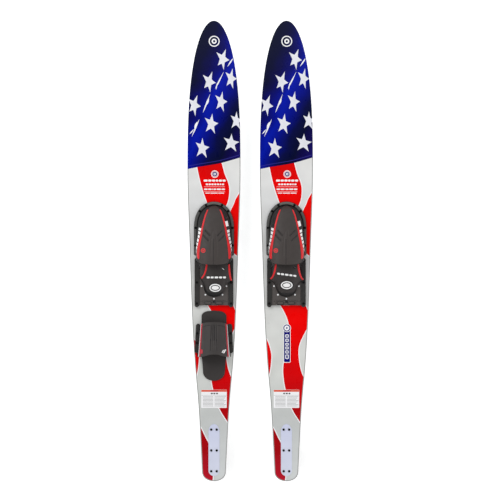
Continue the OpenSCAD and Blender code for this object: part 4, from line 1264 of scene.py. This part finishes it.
def fin(side):
    """Moulded fin: a foiled blade below a flange."""
    foot = plate(capsule(1), BASE_Z - 3, BASE_Z + FIN_STEP, 0.2, FIN_BLACK, 1.2)
    pair_piece(foot, side, "fin_foot", "ski", "black_plastic", "fin")
    a, root, length = np.radians(np.arange(0, 91, 3)), BASE_Z - 1.5, 116
    blade = np.vstack([[(-836, root), (-822, 0)],
                       columns(-780 + length * (1 - np.cos(a)), root * np.sin(a) ** 1.5)])

    def face(sign):
        def at(y, z, d):
            return sign * BLADE_HALF * round_off(d, BLADE_EDGE, 0.01)
        return at

    piece = plan_solid(blade, face(1), face(-1), [FIN_BLACK], [0.3, 1, 2.2, 4, 7, 11, BLADE_EDGE],
                       place=lambda p: p[:, (2, 0, 1)])
    pair_piece(piece, side, "fin_blade", "ski", "black_plastic", "fin")
    for i, (x, y) in enumerate(FIN_SCREWS):
        boss = plate(circle(x, y, 5), BASE_Z - 9, BASE_Z - 1, 0.2, FIN_BLACK, 1.4)
        pair_piece(boss, side, "fin_boss_%d" % (i + 1), "ski", "black_plastic")


# ---- assembly

for width, finish, slot, *parts in KEPT:
    for node in ["%s_%s" % (ski, part) for ski in SIDES for part in parts]:
        soften(node, width, finish)
for width, finish, slot, *nodes in REAR_KEPT:
    for node in nodes:
        soften(node, width, finish)

for ski in SIDES:
    for build in (base_body, printed_deck, toe_frame, toe_cover, toe_piping, toe_marks, foot_pad, heel_cup,
                  heel_piping, heel_marks, lever_grips, heel_pad, fin_plate, fin):
        build(ski)
rear_strap()
strap_band("rear_strap_edging", 25, 35, 1.3, DEEP_RED, "red_trim", "rear_strap_piping")
strap_band("rear_strap_stripe", 12, 20, 0.15, MARK_WHITE, "boot_rubber")
rear_marks()
rear_pad()


# ---- floor, light and camera

def floor():
    mesh, half = bpy.data.meshes.new("floor"), 4
    mesh.from_pydata([(x * half, y * half, 0) for x, y in ((-1, -1), (1, -1), (1, 1), (-1, 1))], [],
                     [(0, 1, 2, 3)])
    finish = surface("floor", (246, 246, 246), 0.75, 0.004, size=900, specular=0.1)
    glow = finish.node_tree.nodes["Principled BSDF"].inputs
    glow["Emission Color"].default_value = (1, 1, 1, 1)
    glow["Emission Strength"].default_value = 0.3
    mesh.materials.append(finish)
    link("floor", mesh)


def soft_light(name, place, size, watts):
    """A square area light aimed at the origin. Lengths in metres."""
    lamp = bpy.data.lights.new(name, "AREA")
    lamp.size = size
    lamp.energy = watts
    holder = link(name, lamp)
    holder.location = place
    holder.rotation_euler = (-Vector(place)).to_track_quat("-Z", "Y").to_euler()


def studio_world():
    """White surroundings, dark only straight overhead so that glossy tops keep their colour."""
    world = bpy.data.worlds.new("studio")
    world.use_nodes = True
    tree = world.node_tree
    background = tree.nodes["Background"]
    ray = make(tree, "TexCoord").outputs["Generated"]
    height = make(tree, "SeparateXYZ", {0: ray}).outputs[2]
    glow = make(tree, "MapRange", {"Value": height, "From Min": 0.88, "From Max": 0.97, "To Min": 0.92,
                                   "To Max": 0.08}).outputs[0]
    tree.links.new(glow, background.inputs["Strength"])
    background.inputs["Color"].default_value = (1, 1, 1, 1)
    bpy.context.scene.world = world


def camera():
    """Straight above the pair, as wide as the pair with a margin."""
    lens, sensor, width = 600, 36, 1.8775
    view = bpy.data.cameras.new("camera")
    view.lens = lens
    view.sensor_width = sensor
    view.clip_end = 100
    holder = link("camera", view)
    holder.location = (-0.00075, 0.0049, DECK * MM + width * lens / sensor)
    bpy.context.scene.camera = holder


floor()
soft_light("key", (-2.2, 2.0, 3.0), 2.0, 52)
soft_light("fill", (2.6, -1.2, 2.6), 2.0, 16)
studio_world()
camera()
bpy.context.scene.view_settings.view_transform = "Standard"
